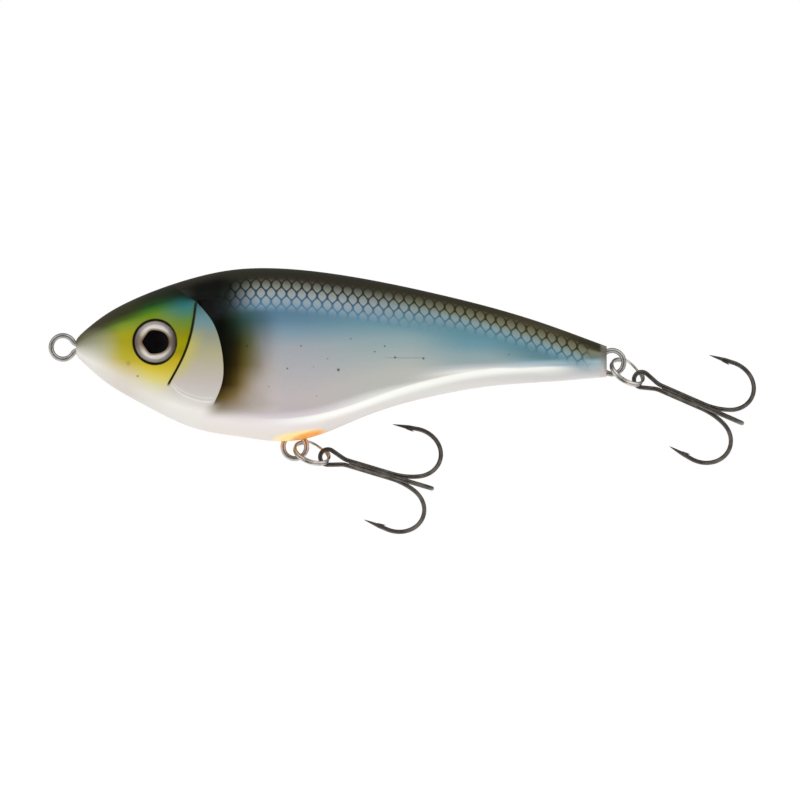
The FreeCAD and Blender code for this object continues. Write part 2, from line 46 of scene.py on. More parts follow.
# Body outlines, the same as the CAD part's
NOSE_X = 3.0
TAIL_X = 123.1
BACK = [(NOSE_X, 1.3), (5.2, 4.0), (10.6, 8.05), (17.9, 11.7), (28.7, 15.5), (39.6, 17.7),
        (48.7, 17.9), (65.0, 16.1), (86.7, 11.65), (108.4, 5.6), (TAIL_X, 0.25)]
BELLY = [(NOSE_X, -1.4), (5.2, -4.0), (10.6, -8.5), (19.7, -13.7), (30.5, -18.5), (41.4, -20.4),
         (51.5, -21.2), (60.0, -19.1), (68.6, -15.5), (83.1, -11.2), (97.6, -8.7), (113.9, -7.5),
         (TAIL_X, -6.7)]
CHINE = [(NOSE_X, -0.5), (9.0, -2.4), (23.0, -9.2), (34.2, -14.1), (51.0, -16.0), (62.4, -13.9),
         (75.3, -9.5), (89.9, -5.8), (111.7, -3.6), (TAIL_X, -3.3)]
HALF_WIDTH = [(NOSE_X, 1.3), (8.0, 5.6), (14.0, 8.9), (21.0, 11.3), (30.0, 13.3), (42.0, 14.0),
              (55.0, 13.5), (70.0, 11.6), (90.0, 8.0), (108.0, 4.8), (TAIL_X, 2.35)]
TAIL_ROUND_R = 2.7
WIDEST_SHARE = 0.45
CHINE_WIDTH_SHARE = 0.89
CROWN_HANDLE = 0.52
SHOULDER_HANDLE = 0.6
FLANK_TOP_HANDLE = 0.4
FLANK_LOW_HANDLE = 0.3
BILGE_HANDLE = 0.84
BILGE_DROP = 0.5
KEEL_HANDLE = 0.40
SEAM_CHAMFER = 0.12

# Mesh of the skin: rows on each curve of the section, and columns along the body
BACK_ROWS = 34
FLANK_ROWS = 40
BELLY_ROWS = 34
SEAM_ROW = 0.006
NOSE_COLUMNS = 46
PLATE_COLUMNS = 16
REAR_COLUMNS = 96
END_COLUMNS = 14
GROOVE_COLUMNS = (-0.36, -0.24, -0.12, 0, 0.12, 0.24, 0.36)
EDGE_COLUMNS = (-0.12, -0.02, 0.06, 0.2)
EDGE_MARGIN = 0.5
MIN_PLATE_WIDTH = 1.4
CHINE_SMOOTHING = (4, 4, 3, 3, 2, 2)
SHARP_ANGLE = 38.0

# Gill plate and groove
GILL_REAR = [(30.3, 10.3), (33.4, 6.7), (35.8, 1.0), (36.5, -3.8), (36.2, -8.0), (34.3, -12.8)]
GILL_LOWER = [(24.2, -8.1), (26.1, -10.4), (28.8, -11.9), (31.5, -12.7), (34.3, -12.8)]
GILL_FRONT = [(30.3, 10.3), (29.6, 5.1), (27.8, -1.2), (24.2, -8.1)]
GILL_FRONT_RAISE = 0.15
GILL_REAR_RAISE = 0.65
GILL_FROM = 22.5
GILL_TO = 37.5
GROOVE_DEPTH = 0.45
GROOVE_HALF_WIDTH = 0.2
GROOVE_LOW = -8.5
GROOVE_HIGH = 10.2
GROOVE_LOW_SOFT = 0.6
GROOVE_HIGH_SOFT = 0.5
PLATE_FRONT_SOFT = 0.25
PLATE_REAR_SOFT = 0.06
PLATE_LOWER_SOFT = 0.3
PLATE_REAR_OUT = 0.02
PLATE_TIP_WIDTH = 0.6
RIM_HEIGHT = 0.09
RIM_UP = 0.95
RIM_HALF_WIDTH = 0.28

# X moved by each edge's line for each mm of height past the plate's ends
GROOVE_RUN_BELOW = 0.35
REAR_RUN_ABOVE = 1.5
REAR_RUN_BELOW = 0.55

# Eyes
EYE = (21.2, 1.2)
EYE_TURN = 9.0
SOCKET_R = 5.1
SOCKET_CUT = 8.0
EYE_R = 4.85
EYE_SEAT_Y = 9.75
FOIL_THICKNESS = 0.4
DOME_RIM = 0.5
LENS_BOND = 0.1
DOME_RISE = 2.3
DOME_STEPS = 24
IRIS_CHAMFER = 0.06

# Rattle chamber
RATTLE_Z = 1.8
RATTLE_BORE_R = 3.45
RATTLE_BORE_X = (66.8, 80.8)

# Bent wire
WIRE_R = 0.59
RING_R = 2.66
RING_FILLET_R = 1.2
LEG_OFFSET = 0.72
INNER_RING_R = 2.0

# Each ring of bent wire: its centre, the angle of its legs and their length
EYE_WIRES = {"nose_line_tie": ((0.0, 0.0), 0.0, 12.5),
             "belly_hanger": ((52.5, -22.5), 90.0, 11.5),
             "tail_hanger": ((124.3, -3.35), 180.0, 11.0)}

# Split rings
SPLIT_WIRE_R = 0.31
SPLIT_R = 4.04
SPLIT_PITCH = 0.64
SPLIT_STEP_ANGLE = 70.0
SPLIT_TILT = 30.0
SPLIT_HALF_SWEEP = 325.0
SPLIT_POINTS = 104
CHAIN_REACH = 4.1

# Treble hooks
HOOK_WIRE_R = 0.5
SHANK_SPREAD = 0.647
HOOK_EYE_R = 1.75
HOOK_EYE_ANGLE = 18.0
HOOK_EYE_FILLET_R = 5.0
SHANK_END = 17.3
FLARE_R = 14.0
FLARE_ANGLE = 25.0
BEND_R = 6.2
POINT_CONVERGE = 7.0
POINT_LEG = 2.0
POINT_TAPER = 3.7
POINT_STEPS = 14
POINT_TIP_R = 0.035
POINT_FULLNESS = 0.82
BARB_LENGTH = 1.9
BARB_ANGLE = 20.0
BARB_ROOT = 0.5
BARB_ROOT_OUT = 0.225
UPPER_HOOK = 60
LOWER_HOOK = -60
THIRD_HOOK = 180
THIRD_SHANK_FROM = 7.2
BRAZE_R = 0.72
BRAZE_FROM = 8.2
BRAZE_TO = 16.8
BRAZE_STEPS = 40
BRAZE_END_SHARE = 0.12
BRAZE_END_WIDTH = 0.35
EYE_GRIP = 2.55
EYE_GRIP_RISE = -0.4

# Each chain: its body wire's ring, the split ring's angle and the treble's angle
CHAINS = {"belly": ((52.5, -22.5), -20.0, -16.7), "tail": ((124.3, -3.35), -33.0, -23.6)}

# Shape of a barb: (share of its length, radius), and of a cut wire end: (way in, width) in radii
BARB_SHAPE = ((0, 0.32), (0.25, 0.28), (0.5, 0.21), (0.75, 0.13), (0.93, 0.06), (1.0, 0.015))
CUT_END_SHAPE = ((0.0, 0.72), (0.08, 0.9), (0.22, 1.0))


# ---------------------------------------------------------------- curves

def spline(points):
    """Natural cubic spline through (x, value) points, level beyond its ends."""
    xs = np.array([p[0] for p in points], float)
    ys = np.array([p[1] for p in points], float)
    count = len(xs)
    gaps = np.diff(xs)
    slopes = np.diff(ys) / gaps
    system = np.eye(count)
    target = np.zeros(count)
    for i in range(1, count - 1):
        system[i, i - 1:i + 2] = gaps[i - 1], 2 * (gaps[i - 1] + gaps[i]), gaps[i]
        target[i] = 6 * (slopes[i] - slopes[i - 1])
    bends = np.linalg.solve(system, target)

    def value_at(x):
        x = np.asarray(x, float)
        inside = np.clip(x, xs[0], xs[-1])
        i = np.clip(np.searchsorted(xs, inside, side="right") - 1, 0, count - 2)
        left = (xs[i + 1] - inside) / gaps[i]
        right = (inside - xs[i]) / gaps[i]
        straight = left * ys[i] + right * ys[i + 1]
        bent = (left ** 3 - left) * bends[i] + (right ** 3 - right) * bends[i + 1]
        return straight + bent * gaps[i] ** 2 / 6

    return value_at


def outline(points):
    """Spline run against the root of the distance from the nose, as in the CAD part."""
    curve = spline([(math.sqrt(x - NOSE_X), value) for x, value in points])
    return lambda x: curve(np.sqrt(np.maximum(np.asarray(x, float) - NOSE_X, 0)))


back_at = outline(BACK)
belly_at = outline(BELLY)
chine_at = outline(CHINE)
half_width_at = outline(HALF_WIDTH)
gill_front_spline = spline([(z, x) for x, z in reversed(GILL_FRONT)])
gill_rear_spline = spline([(z, x) for x, z in reversed(GILL_REAR)])
gill_lower_at = spline(GILL_LOWER)


def gill_front_at(z):
    """X of the groove at height z, run on below the plate."""
    below = np.maximum(GILL_FRONT[-1][1] - np.asarray(z, float), 0)
    return gill_front_spline(z) - GROOVE_RUN_BELOW * below


def gill_rear_at(z):
    """X of the plate's rear edge at height z, run on forwards above the plate and below it."""
    z = np.asarray(z, float)
    above = np.maximum(z - GILL_REAR[0][1], 0)
    below = np.maximum(GILL_REAR[-1][1] - z, 0)
    return gill_rear_spline(z) - REAR_RUN_ABOVE * above - REAR_RUN_BELOW * below


def smooth_step(value):
    """0 below -1, 1 above 1, smooth between."""
    share = np.clip((np.asarray(value, float) + 1) / 2, 0, 1)
    return share * share * (3 - 2 * share)


# ---------------------------------------------------------------- body

def section(x, curve, t):
    """(y, z) of the half cross-section at x: curve 0 is the back, 1 the flank, 2 the belly."""
    top = back_at(x)
    bottom = belly_at(x)
    chine = chine_at(x)
    half = half_width_at(x)
    chine_half = half * CHINE_WIDTH_SHARE
    widest = chine + WIDEST_SHARE * (top - chine)
    back = [(0 * half, top), (CROWN_HANDLE * half, top),
            (half, widest + SHOULDER_HANDLE * (top - widest)), (half, widest)]
    flank = [(half, widest), (half, widest - FLANK_TOP_HANDLE * (widest - chine)),
             (chine_half + FLANK_LOW_HANDLE * (half - chine_half),
              chine + FLANK_LOW_HANDLE * (widest - chine)), (chine_half, chine)]
    belly = [(chine_half, chine), (BILGE_HANDLE * chine_half, chine - BILGE_DROP * (chine - bottom)),
             (KEEL_HANDLE * chine_half, bottom), (0 * half, bottom)]
    corners = (back, flank, belly)[curve]
    weights = ((1 - t) ** 3, 3 * t * (1 - t) ** 2, 3 * t * t * (1 - t), t ** 3)
    y = sum(w * corner[0] for w, corner in zip(weights, corners))
    z = sum(w * corner[1] for w, corner in zip(weights, corners))
    round_start = TAIL_X - TAIL_ROUND_R
    room = np.sqrt(np.maximum(TAIL_ROUND_R ** 2 - (x - round_start) ** 2, 0))
    return np.where(x > round_start, np.minimum(y, room), y), z


def body_rows():
    """(curve, t) of the rows that run from nose to tail, from the back down to the belly."""
    rows = [(0, 0.0), (0, SEAM_ROW)] + [(0, i / BACK_ROWS) for i in range(1, BACK_ROWS)]
    rows += [(1, i / FLANK_ROWS) for i in range(FLANK_ROWS)]
    rows += [(2, i / BELLY_ROWS) for i in range(BELLY_ROWS)] + [(2, 1 - SEAM_ROW), (2, 1.0)]
    return rows


def crossing(edge_at, row):
    """X where a row of the body meets a gill edge given as a function of height, by iteration."""
    x = (GILL_FROM + GILL_TO) / 2
    for _ in range(40):
        z = section(np.array([x]), *row)[1][0]
        x += 0.5 * (float(edge_at(z)) - x)
    return x


def row_columns(row):
    """X positions along one row, lined up with the groove and with the plate's rear edge."""
    groove = crossing(gill_front_at, row)
    rear = crossing(lambda z: np.maximum(gill_rear_at(z), gill_front_at(z)), row)
    rear = max(rear, groove + MIN_PLATE_WIDTH)
    from_nose = NOSE_X + (groove - EDGE_MARGIN - NOSE_X) * np.linspace(0, 1, NOSE_COLUMNS) ** 2
    over_groove = groove + np.array(GROOVE_COLUMNS)
    over_plate = np.linspace(groove + EDGE_MARGIN, rear - 0.6 * EDGE_MARGIN, PLATE_COLUMNS)
    over_edge = rear + np.array(EDGE_COLUMNS)
    round_start = TAIL_X - TAIL_ROUND_R
    along_body = np.linspace(rear + EDGE_MARGIN, round_start, REAR_COLUMNS)
    round_end = round_start + TAIL_ROUND_R * np.sin(np.linspace(0, math.pi / 2, END_COLUMNS))[1:]
    return np.concatenate([from_nose, over_groove, over_plate, over_edge, along_body, round_end])


def relief(x, z):
    """How far the skin stands out over the gill plate, and back in the groove."""
    past_front = x - gill_front_at(z)
    past_rear = x - gill_rear_at(z)
    above_lower = z - gill_lower_at(x)
    width = gill_rear_at(z) - gill_front_at(z)
    share = np.clip((x - GILL_FROM) / (GILL_TO - GILL_FROM), 0, 1)
    raise_here = GILL_FRONT_RAISE + (GILL_REAR_RAISE - GILL_FRONT_RAISE) * share
    plate = smooth_step(past_front / PLATE_FRONT_SOFT)
    plate *= smooth_step((PLATE_REAR_OUT - past_rear) / PLATE_REAR_SOFT)
    plate *= smooth_step(above_lower / PLATE_LOWER_SOFT)
    plate *= smooth_step((width - PLATE_TIP_WIDTH) / PLATE_TIP_WIDTH)
    rim = RIM_HEIGHT * plate * np.exp(-((above_lower - RIM_UP) / RIM_HALF_WIDTH) ** 2)
    groove = np.exp(-(past_front / GROOVE_HALF_WIDTH) ** 2)
    groove *= smooth_step((z - GROOVE_LOW) / GROOVE_LOW_SOFT)
    groove *= smooth_step((GROOVE_HIGH - z) / GROOVE_HIGH_SOFT)
    return raise_here * plate + rim - GROOVE_DEPTH * groove


def skin_grid():
    """Points of the half body's skin as an array (row, column, xyz), y outwards."""
    rows = body_rows()
    grid = []
    for row in rows:
        x = row_columns(row)
        y, z = section(x, *row)
        grid.append(np.stack([x, y, z], axis=1))
    grid = np.array(grid)
    soften_chine(grid, rows.index((2, 0.0)))
    along_row = np.gradient(grid, axis=1)
    down_rows = np.gradient(grid, axis=0)
    normal = np.cross(along_row, down_rows)
    normal *= np.where(normal[..., 1:2] < 0, -1, 1)
    length = np.linalg.norm(normal, axis=2, keepdims=True)
    normal = np.where(length > 1e-6, normal / np.maximum(length, 1e-6), 0)
    grid += normal * relief(grid[..., 0], grid[..., 2])[..., None]
    grid[0, :, 2] -= SEAM_CHAMFER
    grid[-1, :, 2] += SEAM_CHAMFER
    grid[[0, -1], :, 1] = 0
    grid[:, -1, 1] = 0
    return grid


def soften_chine(grid, chine_row):
    """Round the fold between flank and belly a little."""
    for reach in CHINE_SMOOTHING:
        rows = slice(chine_row - reach, chine_row + reach + 1)
        above = grid[chine_row - reach - 1:chine_row + reach]
        below = grid[chine_row - reach + 1:chine_row + reach + 2]
        grid[rows] = (above + 2 * grid[rows] + below) / 4


def new_object(name, verts, faces):
    """Mesh object from millimetre points, shaded smooth but for its sharp edges."""
    mesh = bpy.data.meshes.new(name)
    mesh.from_pydata([tuple(float(c) * MM for c in v) for v in verts], [], faces)
    obj = bpy.data.objects.new(name, mesh)
    bpy.context.collection.objects.link(obj)
    finish_mesh(obj)
    return obj


def finish_mesh(obj):
    """Consistent outward normals, smooth faces and sharp edges above SHARP_ANGLE."""
    bm = bmesh.new()
    bm.from_mesh(obj.data)
    bmesh.ops.remove_doubles(bm, verts=bm.verts, dist=2e-7)
    bmesh.ops.recalc_face_normals(bm, faces=bm.faces)
    for face in bm.faces:
        face.smooth = True
    for edge in bm.edges:
        edge.smooth = len(edge.link_faces) != 2 or edge.calc_face_angle(0) < math.radians(SHARP_ANGLE)
    bm.to_mesh(obj.data)
    bm.free()
    obj.data.update()


def cut(obj, tool):
    """Take the tool's volume out of the object, and drop the tool."""
    change = obj.modifiers.new("cut", "BOOLEAN")
    change.operation = "DIFFERENCE"
    change.solver = "MANIFOLD"
    change.object = tool
    view = bpy.context.evaluated_depsgraph_get()
    view.update()
    mesh = bpy.data.meshes.new_from_object(obj.evaluated_get(view))
    obj.modifiers.clear()
    old = obj.data
    obj.data = mesh
    mesh.name = obj.name
    bpy.data.meshes.remove(old)
    bpy.data.objects.remove(tool)


def lathe(name, profile, base, axis, sides=96):
    """Closed solid turned about an axis: profile is (radius, height) from the axis back to it."""
    axis = Vector(axis).normalized()
    across = axis.cross(Vector((0, 0, 1)))
    if across.length < 0.1:
        across = axis.cross(Vector((0, 1, 0)))
    across.normalize()
    other = axis.cross(across)
    verts, faces = [], []
    for radius, height in profile:
        centre = Vector(base) + axis * height
        if radius < 1e-9:
            verts.append(centre)
            continue
        for i in range(sides):
            turn = 2 * math.pi * i / sides
            verts.append(centre + (across * math.cos(turn) + other * math.sin(turn)) * radius)
    starts = np.cumsum([0] + [1 if r < 1e-9 else sides for r, _ in profile])
    for k in range(len(profile) - 1):
        a, b = int(starts[k]), int(starts[k + 1])
        for i in range(sides):
            j = (i + 1) % sides
            if profile[k][0] < 1e-9:
                faces.append((a, b + i, b + j))
            elif profile[k + 1][0] < 1e-9:
                faces.append((a + i, a + j, b))
            else:
                faces.append((a + i, a + j, b + j, b + i))
    return new_object(name, verts, faces)


def cylinder(name, radius, span, base, axis, sides):
    """Solid cylinder about an axis, between two heights on it."""
    low, high = span
    return lathe(name, [(0, low), (radius, low), (radius, high), (0, high)], base, axis, sides)


def eye_axis(side):
    """Outward direction of an eye. Side is -1 left, 1 right."""
    turn = math.radians(EYE_TURN)
    return Vector((-math.sin(turn), side * math.cos(turn), 0))


def half_body(name, side, grid):
    """One moulded half as a closed solid, with its eye socket and half of the rattle chamber."""
    rows, columns = grid.shape[:2]
    verts = grid.reshape(-1, 3).copy()
    verts[:, 1] *= side
    index = np.arange(rows * columns).reshape(rows, columns)
    faces = []
    for r in range(rows - 1):
        for c in range(columns - 1):
            faces.append((index[r, c], index[r, c + 1], index[r + 1, c + 1], index[r + 1, c]))
    faces.append(tuple(index[:, 0]))
    faces.append(tuple(index[0]) + tuple(index[1:, -1]) + tuple(index[-1, -2::-1]))
    faces = [tuple(int(i) for i in face) for face in faces]
    obj = new_object(name, verts, faces)
    seat = (EYE[0], side * EYE_SEAT_Y, EYE[1])
    cut(obj, cylinder("socket_tool", SOCKET_R, (0, SOCKET_CUT), seat, eye_axis(side), 128))
    cut(obj, cylinder("bore_tool", RATTLE_BORE_R, RATTLE_BORE_X, (0, 0, RATTLE_Z), (1, 0, 0), 64))
    finish_mesh(obj)
    store_paint_fields(obj, side)
    return obj


def store_paint_fields(obj, side):
    """Point attributes, in millimetres, that the paint is laid out by."""
    mesh = obj.data
    places = np.empty(len(mesh.vertices) * 3)
    mesh.vertices.foreach_get("co", places)
    places = places.reshape(-1, 3) / MM
    x, y, z = places.T
    axis = np.array(eye_axis(side))
    arm = places - np.array([EYE[0], side * EYE_SEAT_Y, EYE[1]])
    from_eye_axis = np.linalg.norm(arm - np.outer(arm @ axis, axis), axis=1)
    depth = np.maximum(back_at(x) - belly_at(x), 0.5)
    fields = {
        "below_back": back_at(x) - z,
        "down_share": (back_at(x) - z) / depth,
        "above_chine": z - chine_at(x),
        "behind_gill": x - gill_rear_at(z),
        "past_groove": np.where(z > GILL_FRONT[0][1], x - GILL_FRONT[0][0], x - gill_front_at(z)),
        "off_eye": from_eye_axis - SOCKET_R,
        "along": x,
        "up": z,
        "above_lower": z - gill_lower_at(x),
        "above_keel": z - belly_at(x),
    }
    for name, values in fields.items():
        layer = mesh.attributes.new(name, "FLOAT", "POINT")
        layer.data.foreach_set("value", values.astype(np.float32))


# ---------------------------------------------------------------- wires

def arc(start, middle, end, step=0.22):
    """Points from start to end on the circle through the three, without the start."""
    start, middle, end = Vector(start), Vector(middle), Vector(end)
    a, b = middle - start, end - start
    normal = a.cross(b)
    centre = start + (normal.cross(a) * b.length_squared + b.cross(normal) * a.length_squared) / (
        2 * normal.length_squared)
    first = start - centre
    radius = first.length
    first.normalize()
    second = normal.normalized().cross(first)
    last = end - centre
    sweep = math.atan2(last.dot(second), last.dot(first)) % (2 * math.pi)
    count = max(4, round(sweep * radius / step))
    return [centre + (first * math.cos(sweep * i / count) + second * math.sin(sweep * i / count)) * radius
            for i in range(1, count + 1)]


def line(start, end, step=0.5):
    """Points from start to end, without the start."""
    start, end = Vector(start), Vector(end)
    count = max(1, round((end - start).length / step))
    return [start.lerp(end, i / count) for i in range(1, count + 1)]


def tube(points, radii, closed=False, sides=20):
    """Verts and faces of a swept round wire; radii is one number or one for each point."""
    points = [Vector(p) for p in points]
    count = len(points)
    if not hasattr(radii, "__len__"):
        radii = [radii] * count
    tangents = []
    for i in range(count):
        before = points[i - 1] if closed or i else points[i]
        after = points[(i + 1) % count] if closed or i < count - 1 else points[i]
        tangents.append((after - before).normalized())
    side = tangents[0].cross(Vector((0, 0, 1)))
    if side.length < 0.2:
        side = tangents[0].cross(Vector((0, 1, 0)))
    side.normalize()
    frames = []
    for i in range(count):
        side = (side - tangents[i] * side.dot(tangents[i])).normalized()
        frames.append(side.copy())
    twist = 0.0
    if closed:
        back_home = (side - tangents[0] * side.dot(tangents[0])).normalized()
        twist = math.atan2(tangents[0].dot(back_home.cross(frames[0])), back_home.dot(frames[0]))
    verts, faces = [], []
    for i in range(count):
        u = frames[i]
        v = tangents[i].cross(u)
        extra = twist * i / count
        for k in range(sides):
            turn = 2 * math.pi * k / sides + extra
            verts.append(points[i] + (u * math.cos(turn) + v * math.sin(turn)) * radii[i])
    for i in range(count if closed else count - 1):
        a, b = i * sides, ((i + 1) % count) * sides
        for k in range(sides):
            j = (k + 1) % sides
            faces.append((a + k, a + j, b + j, b + k))
    if not closed:
        faces.append(tuple(reversed(range(sides))))
        faces.append(tuple(range((count - 1) * sides, count * sides)))
    return verts, faces


def joined(name, parts):
    """One object from several (verts, faces)."""
    verts, faces = [], []
    for more_verts, more_faces in parts:
        start = len(verts)
        verts += more_verts
        faces += [tuple(i + start for i in face) for face in more_faces]
    return new_object(name, verts, faces)


def rounded_end(points, radii, at_start):
    """Points and radii of a wire whose cut end has a small round edge."""
    way = (points[1] - points[0]) if at_start else (points[-2] - points[-1])
    way.normalize()
    end = points[0] if at_start else points[-1]
    wire = radii[0] if at_start else radii[-1]
    more_points = [end + way * wire * depth for depth, _ in CUT_END_SHAPE]
    more_radii = [wire * width for _, width in CUT_END_SHAPE]
    if at_start:
        return more_points + points[1:], more_radii + radii[1:]
    return points[:-1] + more_points[::-1], radii[:-1] + more_radii[::-1]


def ring_end(radius):
    """Where a ring end of bent wire starts, and the middle and end of its fillet into the leg."""
    side = LEG_OFFSET + RING_FILLET_R
    reach = math.sqrt((radius + RING_FILLET_R) ** 2 - side ** 2)
    share = radius / (radius + RING_FILLET_R)
    touch = (reach * share, side * share)
    angle = (math.atan2(side, reach) + math.pi + 1.5 * math.pi) / 2
    middle = (reach + RING_FILLET_R * math.cos(angle), side + RING_FILLET_R * math.sin(angle))
    return touch, middle, (reach, LEG_OFFSET)


def eye_wire(name, at, angle, length):
    """Wire bent into an outer ring, two legs and a smaller inner ring, in the middle plane."""
    turn = math.radians(angle)
    along = Vector((math.cos(turn), 0, math.sin(turn)))
    across = Vector((-math.sin(turn), 0, math.cos(turn)))
    origin = Vector((at[0], 0, at[1]))

    def place(a, c):
        return origin + along * a + across * c

    touch, bend, leg = ring_end(RING_R)
    inner_touch, inner_bend, inner_leg = [(length - a, c) for a, c in ring_end(INNER_RING_R)]

    def mirrored(spot):
        return place(spot[0], -spot[1])

    points = arc(mirrored(touch), place(-RING_R, 0), place(*touch))
    points += arc(points[-1], place(*bend), place(*leg))
    points += line(points[-1], place(*inner_leg))
    points += arc(points[-1], place(*inner_bend), place(*inner_touch))
    points += arc(points[-1], place(length + INNER_RING_R, 0), mirrored(inner_touch))
    points += arc(points[-1], mirrored(inner_bend), mirrored(inner_leg))
    points += line(points[-1], mirrored(leg))
    points += arc(points[-1], mirrored(bend), mirrored(touch))
    return joined(name, [tube(points, WIRE_R, closed=True, sides=24)])


def chain_frame(angle):
    """Directions of a split ring: along the chain, across it up, its wire's and its normal."""
    turn = math.radians(angle)
    tilt = math.radians(SPLIT_TILT)
    along = Vector((math.cos(turn), 0, math.sin(turn)))
    up = Vector((-math.sin(turn), 0, math.cos(turn)))
    wire = Vector((0, math.cos(tilt), 0)) + up * math.sin(tilt)
    normal = up * math.cos(tilt) - Vector((0, math.sin(tilt), 0))
    return along, up, wire, normal


def split_ring(name, at, angle):
    """Two turns of wire with a step between them and rounded, slightly parted ends."""
    along, _, wire, normal = chain_frame(angle)
    centre = Vector((at[0], 0, at[1])) + along * CHAIN_REACH
    half_step = SPLIT_STEP_ANGLE / 2

    def place(turn, height):
        turn = math.radians(turn)
        return centre + wire * SPLIT_R * math.cos(turn) - along * SPLIT_R * math.sin(turn) + normal * height

    points = []
    for i in range(-SPLIT_POINTS, SPLIT_POINTS + 1):
        total = i * SPLIT_HALF_SWEEP / SPLIT_POINTS
        step = min(max(total / half_step, -1), 1)
        height = SPLIT_PITCH / 2 * math.sin(step * math.pi / 2)
        points.append(place(total, height))
    radii = [SPLIT_WIRE_R] * len(points)
    points, radii = rounded_end(points, radii, True)
    points, radii = rounded_end(points, radii, False)
    return joined(name, [tube(points, radii, sides=18)])


def hook_plane(direction):
    """Function that places (along the shank, out from its axis) in one hook's plane."""
    turn = math.radians(direction)
    return lambda a, r: Vector((a, r * math.cos(turn), r * math.sin(turn)))


def hook_path(place, shank_from):
    """Centre line of one hook from its shank to its tip, with its radii, and its barb."""
    flare = math.radians(FLARE_ANGLE)
    last = math.radians(180.0 + POINT_CONVERGE)

    def on_flare(turn):
        return SHANK_END + FLARE_R * math.sin(turn), SHANK_SPREAD + FLARE_R * (1 - math.cos(turn))

    flare_end = on_flare(flare)
    centre = (flare_end[0] - BEND_R * math.sin(flare), flare_end[1] + BEND_R * math.cos(flare))

    def on_bend(turn):
        return centre[0] + BEND_R * math.sin(turn), centre[1] - BEND_R * math.cos(turn)

    bend_end = on_bend(last)

    def on_leg(length):
        return bend_end[0] + length * math.cos(last), bend_end[1] + length * math.sin(last)

    points = [place(shank_from, SHANK_SPREAD)]
    points += line(points[-1], place(SHANK_END, SHANK_SPREAD), 0.8)
    points += arc(points[-1], place(*on_flare(flare / 2)), place(*flare_end), 0.4)
    points += arc(points[-1], place(*on_bend((flare + last) / 2)), place(*bend_end), 0.35)
    points += line(points[-1], place(*on_leg(POINT_LEG)), 0.5)
    radii = [HOOK_WIRE_R] * len(points)
    for i in range(1, POINT_STEPS + 1):
        share = i / POINT_STEPS
        points.append(place(*on_leg(POINT_LEG + POINT_TAPER * share)))
        radii.append(POINT_TIP_R + (HOOK_WIRE_R - POINT_TIP_R) * (1 - share) ** POINT_FULLNESS)
    base = place(*on_leg(POINT_LEG))
    return points, radii, hook_barb(base, (place(*on_leg(POINT_LEG + 1)) - base).normalized())


def hook_barb(base, direction):
    """Barb that leans back from the point towards the shank."""
    inwards = Vector((base.x, 0, 0)) - base
    inwards = (inwards - direction * inwards.dot(direction)).normalized()
    lean = math.radians(BARB_ANGLE)
    way = direction * -math.cos(lean) + inwards * math.sin(lean)
    root = base + direction * BARB_ROOT + inwards * BARB_ROOT_OUT
    points = [root + way * (BARB_LENGTH * share) for share, _ in BARB_SHAPE]
    return tube(points, [radius for _, radius in BARB_SHAPE], sides=12)


def hook_eye():
    """Centre line of the double hook's eye, from the upper shank wire round to the lower one."""
    y = SHANK_SPREAD * math.cos(math.radians(UPPER_HOOK))
    shank_z = SHANK_SPREAD * math.sin(math.radians(UPPER_HOOK))
    lean = math.radians(HOOK_EYE_ANGLE)
    touch_a = HOOK_WIRE_R + HOOK_EYE_R + HOOK_EYE_R * math.sin(lean)
    touch_z = HOOK_EYE_R * math.cos(lean)
    corner_a = touch_a + (touch_z - shank_z) / math.tan(lean)
    tangent = HOOK_EYE_FILLET_R * math.tan(lean / 2)
    fillet_a = corner_a + tangent
    start_a = corner_a - tangent * math.cos(lean)
    start_z = shank_z + tangent * math.sin(lean)
    middle_a = fillet_a - HOOK_EYE_FILLET_R * math.sin(lean / 2)
    middle_z = shank_z + HOOK_EYE_FILLET_R * (1 - math.cos(lean / 2))

    def at(a, z):
        return Vector((a, y, z))

    points = arc(at(fillet_a, shank_z), at(middle_a, middle_z), at(start_a, start_z))
    points += line(points[-1], at(touch_a, touch_z))
    points += arc(points[-1], at(HOOK_WIRE_R, 0), at(touch_a, -touch_z))
    points += line(points[-1], at(start_a, -start_z))
    points += arc(points[-1], at(middle_a, -middle_z), at(fillet_a, -shank_z))
    return points, fillet_a


def moved(part, frame_matrix):
    """(verts, faces) moved by a matrix."""
    verts, faces = part
    return [frame_matrix @ v for v in verts], faces


def treble_frame(at, chain_angle, treble_angle):
    """Matrix that hangs a treble in the far side of its split ring."""
    chain = chain_frame(chain_angle)[0]
    far_wire = Vector((at[0], 0, at[1])) + chain * (CHAIN_REACH + SPLIT_R)
    along, up, _, _ = chain_frame(treble_angle)
    start = far_wire - along * EYE_GRIP - up * EYE_GRIP_RISE
    return Matrix(((along.x, 0, up.x, start.x),
                   (0, 1, 0, 0),
                   (along.z, 0, up.z, start.z),
                   (0, 0, 0, 1)))


def double_hook(name, placing):
    """One wire with an eye in its middle and a hook at each end."""
    eye_points, shank_from = hook_eye()
    upper, upper_radii, upper_barb = hook_path(hook_plane(UPPER_HOOK), shank_from)
    lower, lower_radii, lower_barb = hook_path(hook_plane(LOWER_HOOK), shank_from)
    points = upper[::-1] + eye_points + lower[1:]
    radii = upper_radii[::-1] + [HOOK_WIRE_R] * len(eye_points) + lower_radii[1:]
    parts = [tube(points, radii, sides=20), upper_barb, lower_barb]
    return joined(name, [moved(part, placing) for part in parts])


def third_hook(name, placing):
    """Single hook on the -Y side, its cut shank end a little rounded."""
    points, radii, barb = hook_path(hook_plane(THIRD_HOOK), THIRD_SHANK_FROM)
    points, radii = rounded_end(points, radii, True)
    return joined(name, [moved(part, placing) for part in (tube(points, radii, sides=20), barb)])


